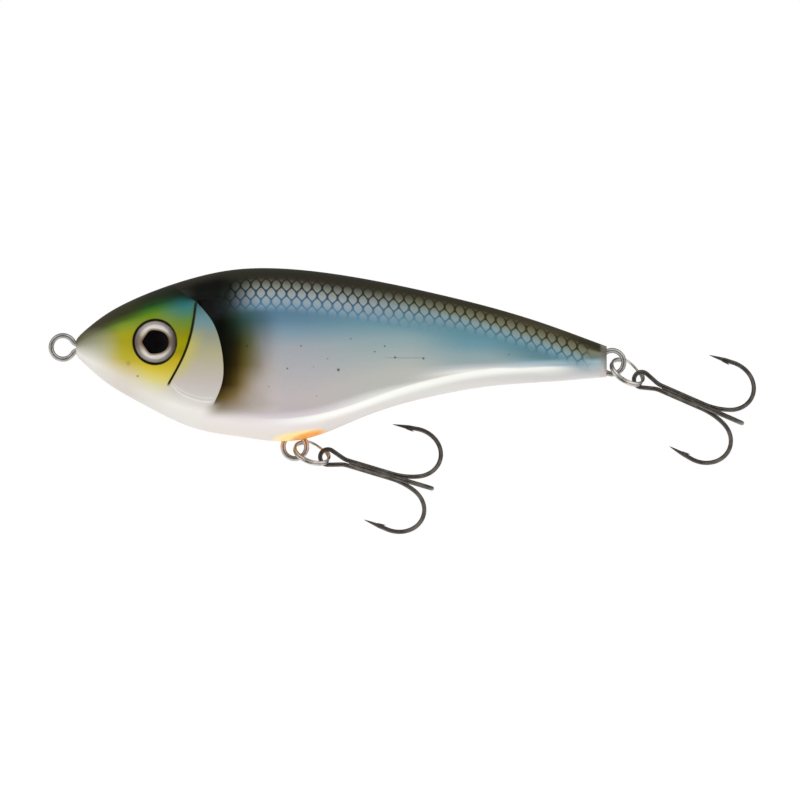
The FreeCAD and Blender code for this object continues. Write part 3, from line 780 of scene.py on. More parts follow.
def braze(name, placing):
    """Brazing metal drawn in between the three shanks, thinning out at both ends."""
    points, radii = [], []
    for i in range(BRAZE_STEPS + 1):
        share = i / BRAZE_STEPS
        points.append(Vector((BRAZE_FROM + (BRAZE_TO - BRAZE_FROM) * share, 0, 0)))
        fullness = math.sqrt(min(min(share, 1 - share) / BRAZE_END_SHARE, 1))
        ripple = 0.02 * math.sin(9 * share) + 0.012 * math.sin(31 * share + 1)
        radii.append(BRAZE_R * (BRAZE_END_WIDTH + (1 - BRAZE_END_WIDTH) * fullness) + ripple)
    return joined(name, [moved(tube(points, radii, sides=24), placing)])


# ---------------------------------------------------------------- materials

def paint(text):
    """Linear colour from six hexadecimal digits."""
    parts = [int(text[i:i + 2], 16) / 255 for i in (0, 2, 4)]
    return tuple(c / 12.92 if c <= 0.04045 else ((c + 0.055) / 1.055) ** 2.4 for c in parts) + (1.0,)


def grey(value):
    return (value, value, value, 1)


class Graph:
    """Short names for the shader nodes that a material or the world is put together from."""

    def __init__(self, owner, output="ShaderNodeOutputMaterial"):
        self.owner = owner
        owner.use_nodes = True
        self.tree = owner.node_tree
        self.tree.nodes.clear()
        self.output = self.node(output)

    def node(self, kind, **settings):
        made = self.tree.nodes.new(kind)
        for key, value in settings.items():
            setattr(made, key, value)
        return made

    def put(self, socket, value):
        """Link a socket, or set a constant on it."""
        if isinstance(value, bpy.types.NodeSocket):
            self.tree.links.new(value, socket)
        else:
            socket.default_value = value

    def field(self, name):
        return self.node("ShaderNodeAttribute", attribute_name=name).outputs["Fac"]

    def calc(self, operation, a, b=0.0, c=0.0):
        made = self.node("ShaderNodeMath", operation=operation)
        for socket, value in zip(made.inputs, (a, b, c)):
            self.put(socket, value)
        return made.outputs[0]

    def plus(self, a, b):
        return self.calc("ADD", a, b)

    def minus(self, a, b):
        return self.calc("SUBTRACT", a, b)

    def over(self, a, b):
        return self.calc("DIVIDE", a, b)

    def away(self, value, middle):
        """How far a value is from a middle one, either way."""
        return self.calc("ABSOLUTE", self.minus(value, middle))

    def times(self, first, *others):
        """Product of all the values."""
        for value in others:
            first = self.calc("MULTIPLY", first, value)
        return first

    def rise(self, value, start, end, shape="SMOOTHSTEP"):
        """Step of a value from 0 at start to 1 at end, whichever of the two is the larger."""
        made = self.node("ShaderNodeMapRange", interpolation_type=shape)
        self.put(made.inputs["Value"], value)
        made.inputs["From Min"].default_value = min(start, end)
        made.inputs["From Max"].default_value = max(start, end)
        made.inputs["To Min"].default_value = 0.0 if start < end else 1.0
        made.inputs["To Max"].default_value = 1.0 if start < end else 0.0
        return made.outputs[0]

    def blend(self, share, a, b):
        """Number a where share is 0, number b where it is 1."""
        return self.plus(self.times(share, b), self.times(self.minus(1.0, share), a))

    def mix(self, share, a, b, blend="MIX"):
        made = self.node("ShaderNodeMix", data_type="RGBA", blend_type=blend)
        self.put(made.inputs[0], share)
        self.put(made.inputs[6], a)
        self.put(made.inputs[7], b)
        return made.outputs[2]

    def tint(self, colour, text, *shares):
        """Colour with a paint over it, as strong as the product of the shares."""
        return self.mix(self.times(*shares), colour, paint(text))

    def mottle(self, colour, value, dark, strength):
        """Colour made a little darker and lighter by a value."""
        return self.mix(strength, colour, self.mix(value, paint(dark), paint("ffffff")), "OVERLAY")

    def ramp(self, value, stops):
        """Colour ramp with stops of place and hexadecimal colour."""
        made = self.node("ShaderNodeValToRGB")
        elements = made.color_ramp.elements
        while len(elements) > 1:
            elements.remove(elements[-1])
        (place, text), *others = stops.items()
        elements[0].position = place
        elements[0].color = paint(text)
        for place, text in others:
            elements.new(place).color = paint(text)
        self.put(made.inputs["Fac"], value)
        return made.outputs["Color"]

    def object_place(self):
        return self.node("ShaderNodeTexCoord").outputs["Object"]

    def side_place(self):
        """X and Z in object space, in millimetres."""
        split = self.node("ShaderNodeSeparateXYZ")
        self.put(split.inputs[0], self.object_place())
        return self.times(split.outputs["X"], 1000.0), self.times(split.outputs["Z"], 1000.0)

    def noise(self, scale, detail=2.0):
        """Noise in object space; scale is in features per metre."""
        made = self.node("ShaderNodeTexNoise")
        self.put(made.inputs["Vector"], self.object_place())
        made.inputs["Scale"].default_value = scale
        made.inputs["Detail"].default_value = detail
        return made.outputs["Fac"]

    def bump(self, height, strength, distance):
        made = self.node("ShaderNodeBump")
        made.inputs["Strength"].default_value = strength
        made.inputs["Distance"].default_value = distance
        self.put(made.inputs["Height"], height)
        return made.outputs["Normal"]

    def principled(self, **inputs):
        made = self.node("ShaderNodeBsdfPrincipled")
        for key, value in inputs.items():
            self.put(made.inputs[key.replace("_", " ")], value)
        return made.outputs[0]

    def finish(self, surface):
        self.put(self.output.inputs["Surface"], surface)
        return self.owner


# Paint from the back (0) down to the belly (1) at stations along the body
# In all but TIP_PAINT, the paler band just below the fold, before the last stop, is a painted highlight.
NOSE_PAINT = {0: "3f3a2c", 0.22: "4f4937", 0.4: "888678", 0.6: "c7c5bd", 0.8: "e2dfd7", 1: "cfccc6"}
SNOUT_PAINT = {0: "3c392d", 0.12: "373a1f", 0.18: "4a6220", 0.23: "76922c", 0.33: "a09e18", 0.42: "a49a12",
               0.52: "aea422", 0.62: "baac34", 0.71: "cebf88", 0.81: "d6cdba", 0.9: "d2cbc2", 1: "c6c0ba"}
FACE_PAINT = {0: "2a2c22", 0.065: "283020", 0.12: "264a1e", 0.16: "447628", 0.2: "688a18", 0.27: "84901a",
              0.48: "a09420", 0.58: "b9a81c", 0.66: "d3be38", 0.735: "d9ce78", 0.81: "d8d3b4",
              0.89: "dcd8d0", 1: "cdcac4"}
CREST_PAINT = {0: "24261e", 0.07: "1c231a", 0.1: "1c2c26", 0.14: "245c5a", 0.19: "3a7874", 0.22: "467e6c",
               0.28: "628638", 0.38: "8d8c12", 0.44: "9c980c", 0.5: "9a9014", 0.56: "c3a924",
               0.62: "cab63c", 0.7: "d0c46c", 0.77: "dad3b0", 0.84: "d6d2c5", 0.92: "dddad2", 1: "cdcac4"}
CHEEK_PAINT = {0: "12160f", 0.14: "1a2a28", 0.2: "47727a", 0.3: "6e9195", 0.4: "959a86", 0.5: "b0ab88",
               0.7: "c6bcb6", 0.8: "cecbc5", 0.88: "e4e0da", 1: "cfcbc6"}
SHOULDER_PAINT = {0: "2e2c22", 0.06: "302e24", 0.1: "43433b", 0.15: "62706f", 0.21: "527389", 0.3: "62859a",
                  0.37: "7f9aa8", 0.46: "a3a8ae", 0.75: "bfb7b7", 0.82: "bdb5b5", 0.87: "dcd5d5",
                  0.92: "dfd7d5", 1: "cfc7bf"}
MIDDLE_PAINT = {0: "2f2d22", 0.07: "353226", 0.13: "5d6b64", 0.22: "678793", 0.33: "6c94a0", 0.44: "8da5a9",
                0.72: "b8b9b3", 0.82: "b9bab3", 0.87: "e2e2dc", 1: "cdc9c5"}
REAR_PAINT = {0: "2f2e20", 0.07: "3a3726", 0.14: "5a5743", 0.21: "6a7771", 0.28: "638690", 0.4: "62909b",
              0.5: "7097a3", 0.6: "8aa2a7", 0.7: "98a8a9", 0.75: "bfc3c6", 0.79: "e8e7e0", 0.85: "d2d1cb",
              1: "cfcdc9"}
TAIL_PAINT = {0: "3e392a", 0.2: "595541", 0.27: "72827e", 0.34: "658a92", 0.42: "507684", 0.6: "61868f",
              0.66: "7a99a1", 0.7: "9fb4bc", 0.76: "dddfd9", 0.82: "dadcd6", 0.9: "cdccc9", 1: "cac6c4"}
TIP_PAINT = {0: "3e3c30", 0.12: "34321f", 0.22: "3c3822", 0.28: "7c7b68", 0.5: "627c7c", 0.56: "7f999b",
             0.6: "9bb1b8", 0.7: "b0b9bf", 0.8: "b8babb", 1: "d3d2d0"}

# Paint at the tail's end lip
LIP_PAINT = {0: "8a8982", 0.15: "6c6a60", 0.35: "75746a", 0.5: "949c95", 0.65: "b4b6b2", 0.8: "c8bcba",
             1: "cdbfbc"}

# Stations after the first one: X where each begins to show, X where it is full, and its paint
FRONT_STATIONS = ((6, 14.5, SNOUT_PAINT), (14, 20.5, FACE_PAINT), (20.5, 28, CREST_PAINT))
REAR_STATIONS = ((52, 74, MIDDLE_PAINT), (76, 92, REAR_PAINT), (94, 110, TAIL_PAINT), (110, 118, TIP_PAINT))

# Scale net, against the depth below the back: 0 at the back, 1 at NET_SPAN below it
NET_SPAN = 12.0
CELL_PAINT = {0.1: "34332b", 0.2: "403d35", 0.28: "6a6b60", 0.36: "858a82", 0.48: "9ba3a3", 0.62: "93a2ac",
              0.78: "6f8fa5"}
TAIL_CELL_PAINT = {0.09: "433f2e", 0.15: "615d47", 0.28: "787c66", 0.34: "849089", 0.4: "849ba2",
                   0.56: "6c93a2", 0.7: "6690a0"}
LINE_PAINT = {0.14: "2c2a20", 0.32: "2f3128", 0.42: "36424a", 0.52: "3f5f74", 0.66: "507a92", 0.8: "5c8499"}
TAIL_LINE_PAINT = {0.1: "332f20", 0.26: "35341f", 0.34: "47584f", 0.42: "4c6f79", 0.52: "537f8d",
                   0.7: "5f8a98"}
SCALE_LENGTH = 2.304
SCALE_ROW = 1.9
ROW_DRIFT = 1.25
CELL_HALF_WIDTH = 0.42
CELL_HALF_HEIGHT = 0.33

# Shading behind the gill plate at heights: paint from SHADE_FROM back to SHADE_TO
SHADE_FROM = 34.6
SHADE_TO = 51.6
GILL_SHADES = [
    (11, {0: "020302", 0.2: "18241f", 0.27: "364342", 0.42: "465655", 0.6: "5c6a70", 1: "758a93"}),
    (9, {0.1: "030603", 0.2: "202e28", 0.3: "2a4040", 0.37: "38565c", 0.5: "3c5c68", 0.77: "50738a",
         1: "547690"}),
    (6, {0.1: "030603", 0.2: "141e14", 0.28: "1d3025", 0.45: "36524f", 0.54: "425f68", 0.8: "56788c",
         1: "5e809a"}),
    (1, {0.12: "0f110b", 0.24: "1a190d", 0.32: "2b2c13", 0.38: "424322", 0.46: "57583a", 0.54: "6d7160",
         0.62: "7f8483", 1: "a3a9b4"}),
    (-4, {0.12: "120f07", 0.2: "1e1807", 0.28: "32260c", 0.35: "4e4219", 0.42: "62582f", 0.5: "766d52",
          0.58: "8a8070", 0.67: "a29a94", 0.8: "b0a9a6", 1: "b7b3b2"}),
    (-8.5, {0.1: "221a0a", 0.2: "3a2d0e", 0.28: "57471f", 0.35: "776743", 0.43: "93836a", 0.5: "a59a8b",
            0.6: "b3aaa4", 0.8: "beb6b4", 1: "c2bbba"}),
    (-11.2, {0: "54451b", 0.1: "5a4920", 0.2: "735e37", 0.28: "83714f", 0.35: "988872", 0.45: "a89c90",
             0.8: "c3bab8", 1: "c9c2c1"}),
    (-12.8, {0: "6e6148", 0.15: "81735a", 0.3: "978976", 0.5: "aea39c", 1: "c6bdbb"}),
    (-14.2, {0: "9a8d78", 0.15: "9c917f", 0.8: "c8bfbe", 1: "cec5c4"})]

# Orange glow at the belly wire: middle X, half length, height and colour of two ovals on the keel
HANGER_GLOW = ((53.4, 6.4, 2.4, "f6dc98"), (55.6, 4.4, 1.55, "f0a040"))

# Painted highlight lines along the rim low on the gill plate: height above its lower edge and strength
RIM_HIGHLIGHTS = ((0.5, 0.5), (1.35, 0.3))

# Paint faults on the flank: (x, z, radius, strength) of dark specks, and one fine scratch
SPECKS = [(15, -3.6, 0.6, 0.22), (17.1, -6.5, 0.3, 0.55), (41.8, 0.3, 0.34, 0.6), (50.9, -4.8, 0.24, 0.7),
          (60, -2.6, 0.2, 0.5), (62.4, -5.1, 0.36, 0.8), (65.2, 1.9, 0.2, 0.6), (68.3, 8.1, 0.2, 0.4),
          (70.6, -1, 0.22, 0.7), (75.2, -2.3, 0.28, 0.8), (81.6, -2.5, 0.28, 0.8), (46.7, -8.9, 0.2, 0.5),
          (57.5, -11, 0.18, 0.4), (100.9, -1.6, 0.2, 0.5)]
SCRATCH_Z = -2.4
SCRATCH_FROM = 71.7
SCRATCH_TO = 81.6


class SkinPlace:
    """Where a point of the skin is, in the measures that store_paint_fields keeps on it."""

    def __init__(self, g):
        self.along = g.field("along")
        self.up = g.field("up")
        self.share = g.field("down_share")
        self.below = g.field("below_back")
        self.chine = g.field("above_chine")
        self.lower = g.field("above_lower")
        self.keel = g.field("above_keel")
        self.gill = g.field("behind_gill")
        self.groove = g.field("past_groove")
        self.off_eye = g.field("off_eye")


def oval(g, across, up, half_width, half_height):
    """Square of the distance from an oval's middle: 1 on its edge."""
    u = g.over(across, half_width)
    v = g.over(up, half_height)
    return g.plus(g.times(u, u), g.times(v, v))


def paint_along(g, at, first, stations):
    """Paint of the first station, blended into that of each next one."""
    colour = g.ramp(at.share, first)
    for start, end, stops in stations:
        colour = g.mix(g.rise(at.along, start, end), colour, g.ramp(at.share, stops))
    return colour


def face_paint(g, at):
    """Yellow and green face with a painted highlight on the snout."""
    colour = paint_along(g, at, NOSE_PAINT, FRONT_STATIONS)
    # The pale oval on the snout is a painted highlight.
    off_snout_highlight = oval(g, g.minus(at.along, 7.6), g.minus(at.up, 1.0), 6.0, 4.0)
    return g.tint(colour, "bcc294", g.rise(off_snout_highlight, 1.0, -0.3), 0.32)


def add_cheek(g, at, colour):
    """Gill plate from its groove back: grey green, and warm yellow next to the groove."""
    cheek = g.tint(g.ramp(at.share, CHEEK_PAINT), "c9bd4c", g.rise(at.groove, 4.2, 0.0),
                   g.rise(at.up, 5.5, 0.0), g.rise(at.up, -9.5, -4.0), 0.65)
    sharp = g.rise(at.groove, -0.1, 0.4)
    soft = g.rise(at.groove, -3.0, 3.0)
    return g.mix(g.blend(g.rise(at.up, -8.0, -9.5), sharp, soft), colour, cheek)


def gill_shade(g, at):
    """Colour behind the gill plate, blended between the heights of GILL_SHADES."""
    place = g.over(g.minus(at.along, SHADE_FROM), SHADE_TO - SHADE_FROM)
    upper, stops = GILL_SHADES[0]
    colour = g.ramp(place, stops)
    for height, stops in GILL_SHADES[1:]:
        colour = g.mix(g.rise(at.up, upper, height, "LINEAR"), colour, g.ramp(place, stops))
        upper = height
    return colour


def flank_paint(g, at):
    """Blue flank, painted highlight just above the fold near the tail, dark shade behind the gill plate."""
    colour = paint_along(g, at, SHOULDER_PAINT, REAR_STATIONS)
    # Pale blue band just above the fold near the tail: a painted highlight.
    colour = g.tint(colour, "aac1ca", g.rise(at.chine, 1.2, 0.1), g.rise(at.chine, -0.6, 0.0),
                    g.rise(at.along, 96, 108), 0.7)
    shade = g.times(g.rise(at.along, 51.0, 45.5), g.rise(at.up, -16.4, -13.6), g.rise(at.up, 12.5, 10.5))
    return g.mix(shade, colour, gill_shade(g, at))


def scale_cells(g, along, below):
    """0 in the middle of a scale, above 1 between scales: staggered rows of pointed ovals."""
    found = []
    for shift in (0.0, 0.5):
        u = g.plus(g.over(along, SCALE_LENGTH), shift)
        v = g.plus(g.over(below, 2 * SCALE_ROW), shift)
        across = g.away(g.calc("FRACT", u), 0.5)
        down = g.over(g.minus(g.calc("FRACT", v), 0.5), CELL_HALF_HEIGHT)
        found.append(g.plus(g.over(across, CELL_HALF_WIDTH), g.times(down, down)))
    return g.calc("MINIMUM", found[0], found[1])


def add_scales(g, at, colour):
    """Net of scales on the upper flank, smaller and bluer towards the tail."""
    to_tail = g.rise(at.along, 62, 92)
    level = g.over(at.below, NET_SPAN)
    cell = g.mix(to_tail, g.ramp(level, CELL_PAINT), g.ramp(level, TAIL_CELL_PAINT))
    line = g.mix(to_tail, g.ramp(level, LINE_PAINT), g.ramp(level, TAIL_LINE_PAINT))
    rows = g.plus(at.below, g.times(g.rise(at.along, 50, 86), ROW_DRIFT))
    inside = g.rise(scale_cells(g, at.along, rows), 1.06, 0.8)
    # From the gill plate back to about X 46 the net is tinted near black: painted shade, as behind the
    # plate.
    scales = g.tint(g.mix(inside, line, cell), "0c130e", g.rise(at.along, 45.8, 36.6), 0.97)
    top_fade = g.blend(to_tail, g.rise(at.below, 1.4, 3.2), g.rise(at.below, 0.9, 2.2))
    low_fade = g.blend(to_tail, g.rise(at.below, 10.4, 8.6), g.rise(at.below, 8.2, 5.2))
    in_net = g.times(top_fade, low_fade, g.rise(at.along, 33, 38), g.rise(at.along, 121, 116))
    return g.mix(in_net, colour, scales)


def add_flank(g, at, colour):
    """Flank behind the gill plate's edge, and painted shade above the plate."""
    sharp = g.rise(at.gill, -0.06, 0.06)
    soft = g.rise(at.gill, -2.2, 2.4)
    behind = g.blend(g.rise(at.up, -12.0, -13.4), sharp, soft)
    colour = g.mix(behind, colour, add_scales(g, at, flank_paint(g, at)))
    # Near-black tint over the top of the gill plate: painted shade.
    return g.tint(colour, "0c0e0a", g.rise(at.up, 10.0, 11.4), g.rise(at.along, 25, 31),
                  g.rise(at.along, 39, 35), g.rise(at.below, 0.3, 2.5), 0.95)


def add_head_lines(g, at, colour):
    """Painted highlights along the rim low on the gill plate, the groove's dark line and painted shade at
    the eye socket's edge.
    """
    on_plate = g.times(g.rise(at.groove, 0.0, 1.5), g.rise(at.gill, -0.3, -1.2))
    # Pale lines along the plate's rim are painted highlights.
    for height, strength in RIM_HIGHLIGHTS:
        on_rim = g.rise(g.away(at.lower, height), 0.3, 0.08)
        colour = g.tint(colour, "f2efe8", on_rim, on_plate, strength)
    in_groove = g.rise(g.away(at.groove, 0.0), 0.42, 0.18)
    colour = g.tint(colour, "2c3010", in_groove, g.rise(at.up, -9.0, -8.0), g.rise(at.up, 10.6, 9.9))
    # Dark ring just outside the eye socket is painted shade at the socket's edge.
    return g.tint(colour, "2a2116", g.rise(at.off_eye, 0.32, 0.05))


def add_fold_lines(g, at, colour):
    """Painted white highlight and faint violet along the fold, orange at the belly wire and the tail's worn
    lip.
    """
    lifted = g.plus(at.chine, g.times(g.rise(at.along, 97, 105), 0.65))
    # White strip just below the fold, from the middle nearly to the tail: a painted highlight.
    colour = g.tint(colour, "fbfbf6", g.rise(at.chine, -2.3, -0.7), g.rise(lifted, 0.15, -0.25),
                    g.rise(at.along, 40, 60), g.rise(at.along, 117, 107), 0.85)
    colour = g.tint(colour, "d8c8dc", g.rise(at.chine, -0.4, 0.3), g.rise(at.chine, 1.4, 0.7),
                    g.rise(at.along, 36, 46), g.rise(at.along, 75, 60), 0.25)
    for middle, half_length, height, text in HANGER_GLOW:
        spot = oval(g, g.minus(at.along, middle), at.keel, half_length, height)
        colour = g.tint(colour, text, g.rise(spot, 1.2, 0.25))
    on_lip = g.times(g.rise(at.along, 121.3, 122.1), 0.85)
    return g.mix(on_lip, colour, g.ramp(at.share, LIP_PAINT))


def add_faults(g, at, colour):
    """Fine specks all over, the larger ones of SPECKS and one scratch."""
    spots = g.node("ShaderNodeTexVoronoi")
    g.put(spots.inputs["Vector"], g.object_place())
    spots.inputs["Scale"].default_value = 150.0
    colour = g.tint(colour, "43413c", g.rise(spots.outputs["Distance"], 0.042, 0.02),
                    g.rise(g.noise(60.0), 0.42, 0.48), g.rise(at.chine, 1, 3), 0.7)
    for x, z, radius, strength in SPECKS:
        off = g.calc("SQRT", oval(g, g.minus(at.along, x), g.minus(at.up, z), radius, radius))
        colour = g.tint(colour, "35322c", g.rise(off, 1.25, 0.5), strength)
    on_line = g.rise(g.away(at.up, SCRATCH_Z), 0.15, 0.03)
    return g.tint(colour, "5c6468", on_line, g.rise(at.along, SCRATCH_FROM, SCRATCH_FROM + 3),
                  g.rise(at.along, SCRATCH_TO, SCRATCH_TO - 0.5), 0.45)


def body_paint():
    """Painted, clear-coated body: dark back, scale net, blue flank, pearl belly, yellow face."""
    g = Graph(bpy.data.materials.new("lure_paint"))
    at = SkinPlace(g)
    colour = face_paint(g, at)
    for add in (add_cheek, add_flank, add_head_lines, add_fold_lines, add_faults):
        colour = add(g, at, colour)
    grain = g.noise(2600.0, 3.0)
    colour = g.mottle(colour, grain, "202020", 0.05)
    waves = g.noise(90.0, 2.0)
    return g.finish(g.principled(
        Base_Color=colour, Roughness=0.5, Specular_IOR_Level=0.02, Coat_Weight=0.09,
        Coat_Roughness=0.13, Coat_IOR=1.5, Normal=g.bump(grain, 0.04, 0.00002),
        Coat_Normal=g.bump(waves, 0.08, 0.0004)))


# Printed pupil, about a sixth smaller than it looks through the dome
PUPIL_R = 2.2
PUPIL_OFFSET = 0.5
PUPIL_TIP = 2.75
PUPIL_POINT_R = 2.34
PUPIL_SLOPE = 1.5
PUPIL_SLOPE_SHARE = 0.53


def pupil_distance(g, u, w, from_middle):
    """Distance outside the pupil: a disc joined softly to a point towards the nose."""
    wedge = g.times(g.plus(u, PUPIL_TIP), PUPIL_SLOPE)
    off_wedge = g.times(g.minus(g.away(w, 0.0), wedge), PUPIL_SLOPE_SHARE)
    from_point = g.minus(from_middle(PUPIL_POINT_R - PUPIL_TIP), PUPIL_POINT_R)
    off_point = g.calc("SMOOTH_MAX", off_wedge, from_point, 0.6)
    return g.calc("SMOOTH_MIN", g.minus(from_middle(PUPIL_OFFSET), PUPIL_R), off_point, 0.5)


def eye_foil_material():
    """Printed foil: silver iris with a painted sheen, thin brown ring and a black pupil drawn out towards
    the nose.
    """
    g = Graph(bpy.data.materials.new("eye_foil_print"))
    x, z = g.side_place()
    u = g.minus(x, EYE[0])
    w = g.minus(z, EYE[1])

    def from_middle(offset):
        return g.calc("SQRT", oval(g, g.minus(u, offset), w, 1.0, 1.0))

    radius = from_middle(0.0)
    height = g.over(g.away(w, 0.0), g.calc("MAXIMUM", radius, 0.1))
    # The iris is paler above and below its middle and darker at its sides: a painted sheen of the foil.
    silver = g.mix(g.rise(height, 0.1, 0.9), paint("8f8276"), paint("ece6e1"))
    streaks = g.noise(1500.0, 2.0)
    silver = g.mottle(silver, streaks, "55504a", 0.35)
    silver = g.tint(silver, "7a6d5b", g.rise(radius, 3.3, 3.8), 0.55)
    silver = g.tint(silver, "30271e", g.rise(radius, 4.2, 4.6), 0.9)
    off_pupil = pupil_distance(g, u, w, from_middle)
    silver = g.tint(silver, "7a5a38", g.rise(off_pupil, 0.55, 0.15), 0.8)
    colour = g.tint(silver, "040303", g.rise(off_pupil, 0.1, -0.05))
    return g.finish(g.principled(
        Base_Color=colour, Roughness=0.5, Specular_IOR_Level=0.03, Coat_Weight=0.08,
        Coat_Roughness=0.1, Normal=g.bump(streaks, 0.1, 0.00003)))


def eye_dome_material():
    """Clear resin lens that lets direct light straight through to the foil."""
    g = Graph(bpy.data.materials.new("eye_resin"))
    bent = g.node("ShaderNodeBsdfRefraction")
    bent.inputs["Color"].default_value = (0.98, 0.98, 0.97, 1)
    bent.inputs["Roughness"].default_value = 0.0
    bent.inputs["IOR"].default_value = 1.45
    g.put(bent.inputs["Normal"], g.bump(g.noise(260.0, 1.0), 0.03, 0.0002))
    both = g.node("ShaderNodeMixShader")
    g.put(both.inputs[0], g.node("ShaderNodeLightPath").outputs["Is Shadow Ray"])
    g.put(both.inputs[1], bent.outputs[0])
    g.put(both.inputs[2], g.node("ShaderNodeBsdfTransparent").outputs[0])
    return g.finish(both.outputs[0])


# Belly paint on the wires: heights where it fades out below, and where it fades in under the body
OVERSPRAY_LOW = -24.6
OVERSPRAY_HIGH = -21.6
OVERSPRAY_TOP = -15.0
OVERSPRAY_FULL = -17.0


def metal(name, colour, dark, roughness, grain_scale, grain_strength, overspray=False):
    """Metal with uneven tone, uneven gloss and a fine grain; some of it has belly paint on it."""
    g = Graph(bpy.data.materials.new(name))
    grain = g.noise(grain_scale, 3.0)
    tone = g.mix(g.rise(g.noise(420.0, 4.0), 0.3, 0.7), paint(dark), paint(colour))
    rough = g.plus(g.times(grain, 0.16), roughness - 0.08)
    if overspray:
        _, height = g.side_place()
        tone = g.tint(tone, "f0b48c", g.rise(height, OVERSPRAY_LOW, OVERSPRAY_HIGH),
                      g.rise(height, OVERSPRAY_TOP, OVERSPRAY_FULL), 0.6)
    return g.finish(g.principled(
        Base_Color=tone, Metallic=1.0, Roughness=rough, Normal=g.bump(grain, grain_strength, 0.00002)))


PAINT = body_paint()
WIRE = metal("bright_steel_wire", "b8b6b2", "8e8b86", 0.38, 2400.0, 0.15, overspray=True)
RING_STEEL = metal("split_ring_steel", "cac4be", "98928c", 0.24, 3000.0, 0.1)
HOOK_STEEL = metal("black_nickel_hook", "625c56", "46423d", 0.4, 2600.0, 0.2)
BRAZE_METAL = metal("brazing_metal", "665f57", "45403a", 0.46, 1500.0, 0.5)
BALLAST_STEEL = metal("ballast_steel", "a8a8a6", "8c8c8a", 0.38, 1200.0, 0.3)
FOIL = eye_foil_material()
RESIN = eye_dome_material()


# ---------------------------------------------------------------- the pieces

def own(obj, material, body, slot, *nodes):
    """Give a piece its material and its body, and hide the CAD nodes that it stands for. The slot is not
    used.
    """
    obj.data.materials.clear()
    obj.data.materials.append(material)
    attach(obj, body)
    if nodes:
        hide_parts(*nodes)


def iris_disc(name, seat, axis):
    """Flat disc of printed foil with a small bevel on its lower edge."""
    flat = EYE_R - IRIS_CHAMFER
    profile = [(0, 0), (flat, 0), (EYE_R, IRIS_CHAMFER), (EYE_R, FOIL_THICKNESS), (0, FOIL_THICKNESS)]
    return lathe(name, profile, seat, axis)


def lens(name, seat, axis):
    """Clear lens on the foil: a short upright rim under a cap of a sphere."""
    sphere_r = (EYE_R ** 2 + DOME_RISE ** 2) / (2 * DOME_RISE)
    profile = [(0, -LENS_BOND), (EYE_R, -LENS_BOND)]
    for i in range(DOME_STEPS + 1):
        turn = math.asin(EYE_R / sphere_r) * (1 - i / DOME_STEPS)
        height = DOME_RIM + DOME_RISE - sphere_r + sphere_r * math.cos(turn)
        profile.append((sphere_r * math.sin(turn), height))
    return lathe(name, profile, seat + axis * FOIL_THICKNESS, axis)


grid = skin_grid()
for side, side_name in ((-1, "left"), (1, "right")):
    own(half_body(side_name + "_half", side, grid), PAINT, "lure_body", "shell", side_name + "_shell")
    seat = Vector((EYE[0], side * EYE_SEAT_Y, EYE[1]))
    axis = eye_axis(side)
    own(iris_disc(side_name + "_iris", seat, axis), FOIL, "lure_body", "eye_foil", side_name + "_eye_foil")
    own(lens(side_name + "_lens", seat, axis), RESIN, "lure_body", "eye_dome", side_name + "_eye_dome")

for node_name, (at, angle, length) in EYE_WIRES.items():
    own(eye_wire(node_name + "_wire", at, angle, length), WIRE, "lure_body", "wire", node_name)

for place_name, (at, chain_angle, treble_angle) in CHAINS.items():
    ring = split_ring(place_name + "_ring_coil", at, chain_angle)
    own(ring, RING_STEEL, place_name + "_ring", "split_ring", place_name + "_split_ring")
    placing = treble_frame(at, chain_angle, treble_angle)
    treble = place_name + "_treble"
    own(double_hook(treble + "_pair", placing), HOOK_STEEL, treble, "hook", treble + "_double_hook")
    own(third_hook(treble + "_single", placing), HOOK_STEEL, treble, "hook", treble + "_third_hook")
    own(braze(treble + "_joint", placing), BRAZE_METAL, treble, "braze", treble + "_braze")

for node_name in ("front_ballast", "belly_ballast", "rear_ballast", "rattle_ball"):
    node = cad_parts[node_name]
    node.data.materials.clear()
    node.data.materials.append(BALLAST_STEEL)


# ---------------------------------------------------------------- camera, floor and light, in metres

CAMERA_LENS = 596.4
CAMERA_PLACE = (0.0763, -3.0, -0.0119)
FLOOR_REACH = 4.0
FLOOR_FRONT = -0.25
FLOOR_HEIGHT = -0.16
FLOOR_GLOW = 0.75
SIDE_GLOW = 1.4
BEHIND_GLOW = 0.35
FRONT_GLOW = 0.05
OVERHEAD_GLOW = 0.3
SOFTBOX_PLACE = (0.065, -0.5, 0.64)
SOFTBOX_TARGET = (0.065, 0, 0)
SOFTBOX_SIZE = (1.3, 0.5)
SOFTBOX_WATTS = 2.3


def make_camera():
    """Long lens at the lure's left side."""
    camera = bpy.data.cameras.new("camera")
    camera.lens = CAMERA_LENS
    camera.sensor_width = 36.0
    camera.clip_start = 0.01
    camera.clip_end = 20.0
    obj = bpy.data.objects.new("camera", camera)
    obj.location = CAMERA_PLACE
    obj.rotation_euler = (math.radians(90), 0, 0)
    bpy.context.collection.objects.link(obj)
    bpy.context.scene.camera = obj


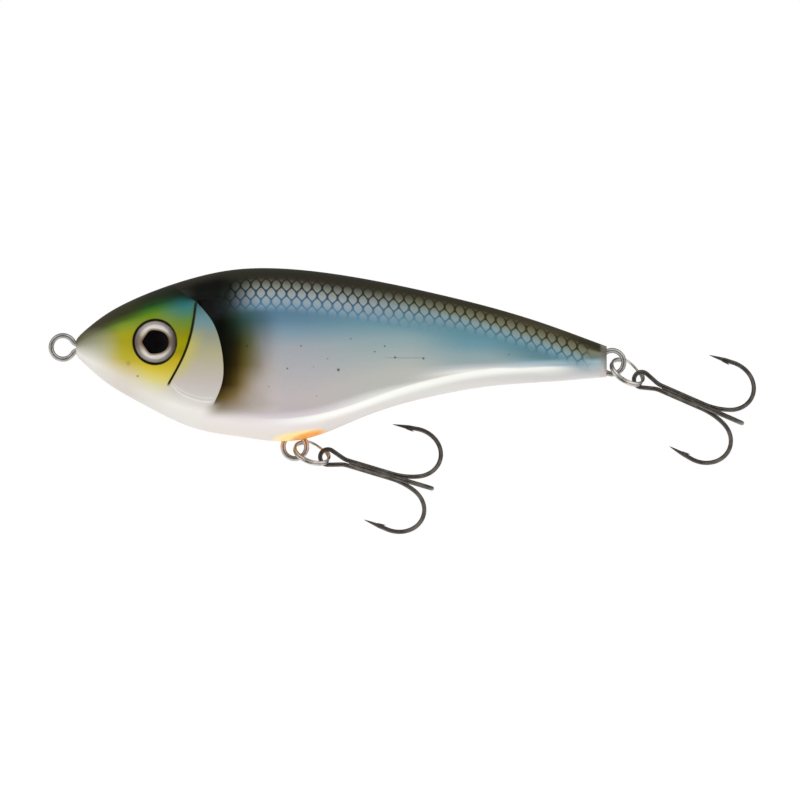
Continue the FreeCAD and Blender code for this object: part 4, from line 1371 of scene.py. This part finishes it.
def make_floor():
    """Pale floor that glows a little, below and behind the lure."""
    g = Graph(bpy.data.materials.new("pale_floor"))
    tone = g.mix(g.noise(12.0, 3.0), paint("e8e8e8"), paint("f0f0f0"))
    surface = g.principled(Base_Color=tone, Roughness=0.9, Emission_Color=grey(1),
                           Emission_Strength=FLOOR_GLOW)
    floor = bpy.data.meshes.new("floor")
    corners = [(-FLOOR_REACH, FLOOR_FRONT), (FLOOR_REACH, FLOOR_FRONT),
               (FLOOR_REACH, FLOOR_REACH), (-FLOOR_REACH, FLOOR_REACH)]
    floor.from_pydata([(x, y, FLOOR_HEIGHT) for x, y in corners], [], [(0, 1, 2, 3)])
    obj = bpy.data.objects.new("floor", floor)
    obj.data.materials.append(g.finish(surface))
    bpy.context.collection.objects.link(obj)


def make_world():
    """White to the camera; for everything else a dim room that is brightest at its two sides."""
    g = Graph(bpy.data.worlds.new("studio"), "ShaderNodeOutputWorld")
    split = g.node("ShaderNodeSeparateXYZ")
    g.put(split.inputs[0], g.node("ShaderNodeTexCoord").outputs["Generated"])
    depth = split.outputs["Y"]
    room = g.mix(g.rise(depth, -0.2, 0.3), grey(SIDE_GLOW), grey(BEHIND_GLOW))
    room = g.mix(g.rise(depth, -0.7, -0.92), room, grey(FRONT_GLOW))
    room = g.mix(g.rise(split.outputs["Z"], 0.55, 0.85), room, grey(OVERHEAD_GLOW))
    seen = g.mix(g.node("ShaderNodeLightPath").outputs["Is Camera Ray"], room, grey(1))
    background = g.node("ShaderNodeBackground")
    g.put(background.inputs["Color"], seen)
    bpy.context.scene.world = g.finish(background.outputs[0])


def make_softbox():
    """Wide soft light above and in front of the lure."""
    light = bpy.data.lights.new("top_softbox", "AREA")
    light.shape = "RECTANGLE"
    light.size, light.size_y = SOFTBOX_SIZE
    light.energy = SOFTBOX_WATTS
    obj = bpy.data.objects.new("top_softbox", light)
    obj.location = SOFTBOX_PLACE
    way = Vector(SOFTBOX_TARGET) - Vector(SOFTBOX_PLACE)
    obj.rotation_euler = way.to_track_quat("-Z", "Y").to_euler()
    bpy.context.collection.objects.link(obj)


make_camera()
make_floor()
make_world()
make_softbox()
bpy.context.scene.view_settings.view_transform = "Standard"
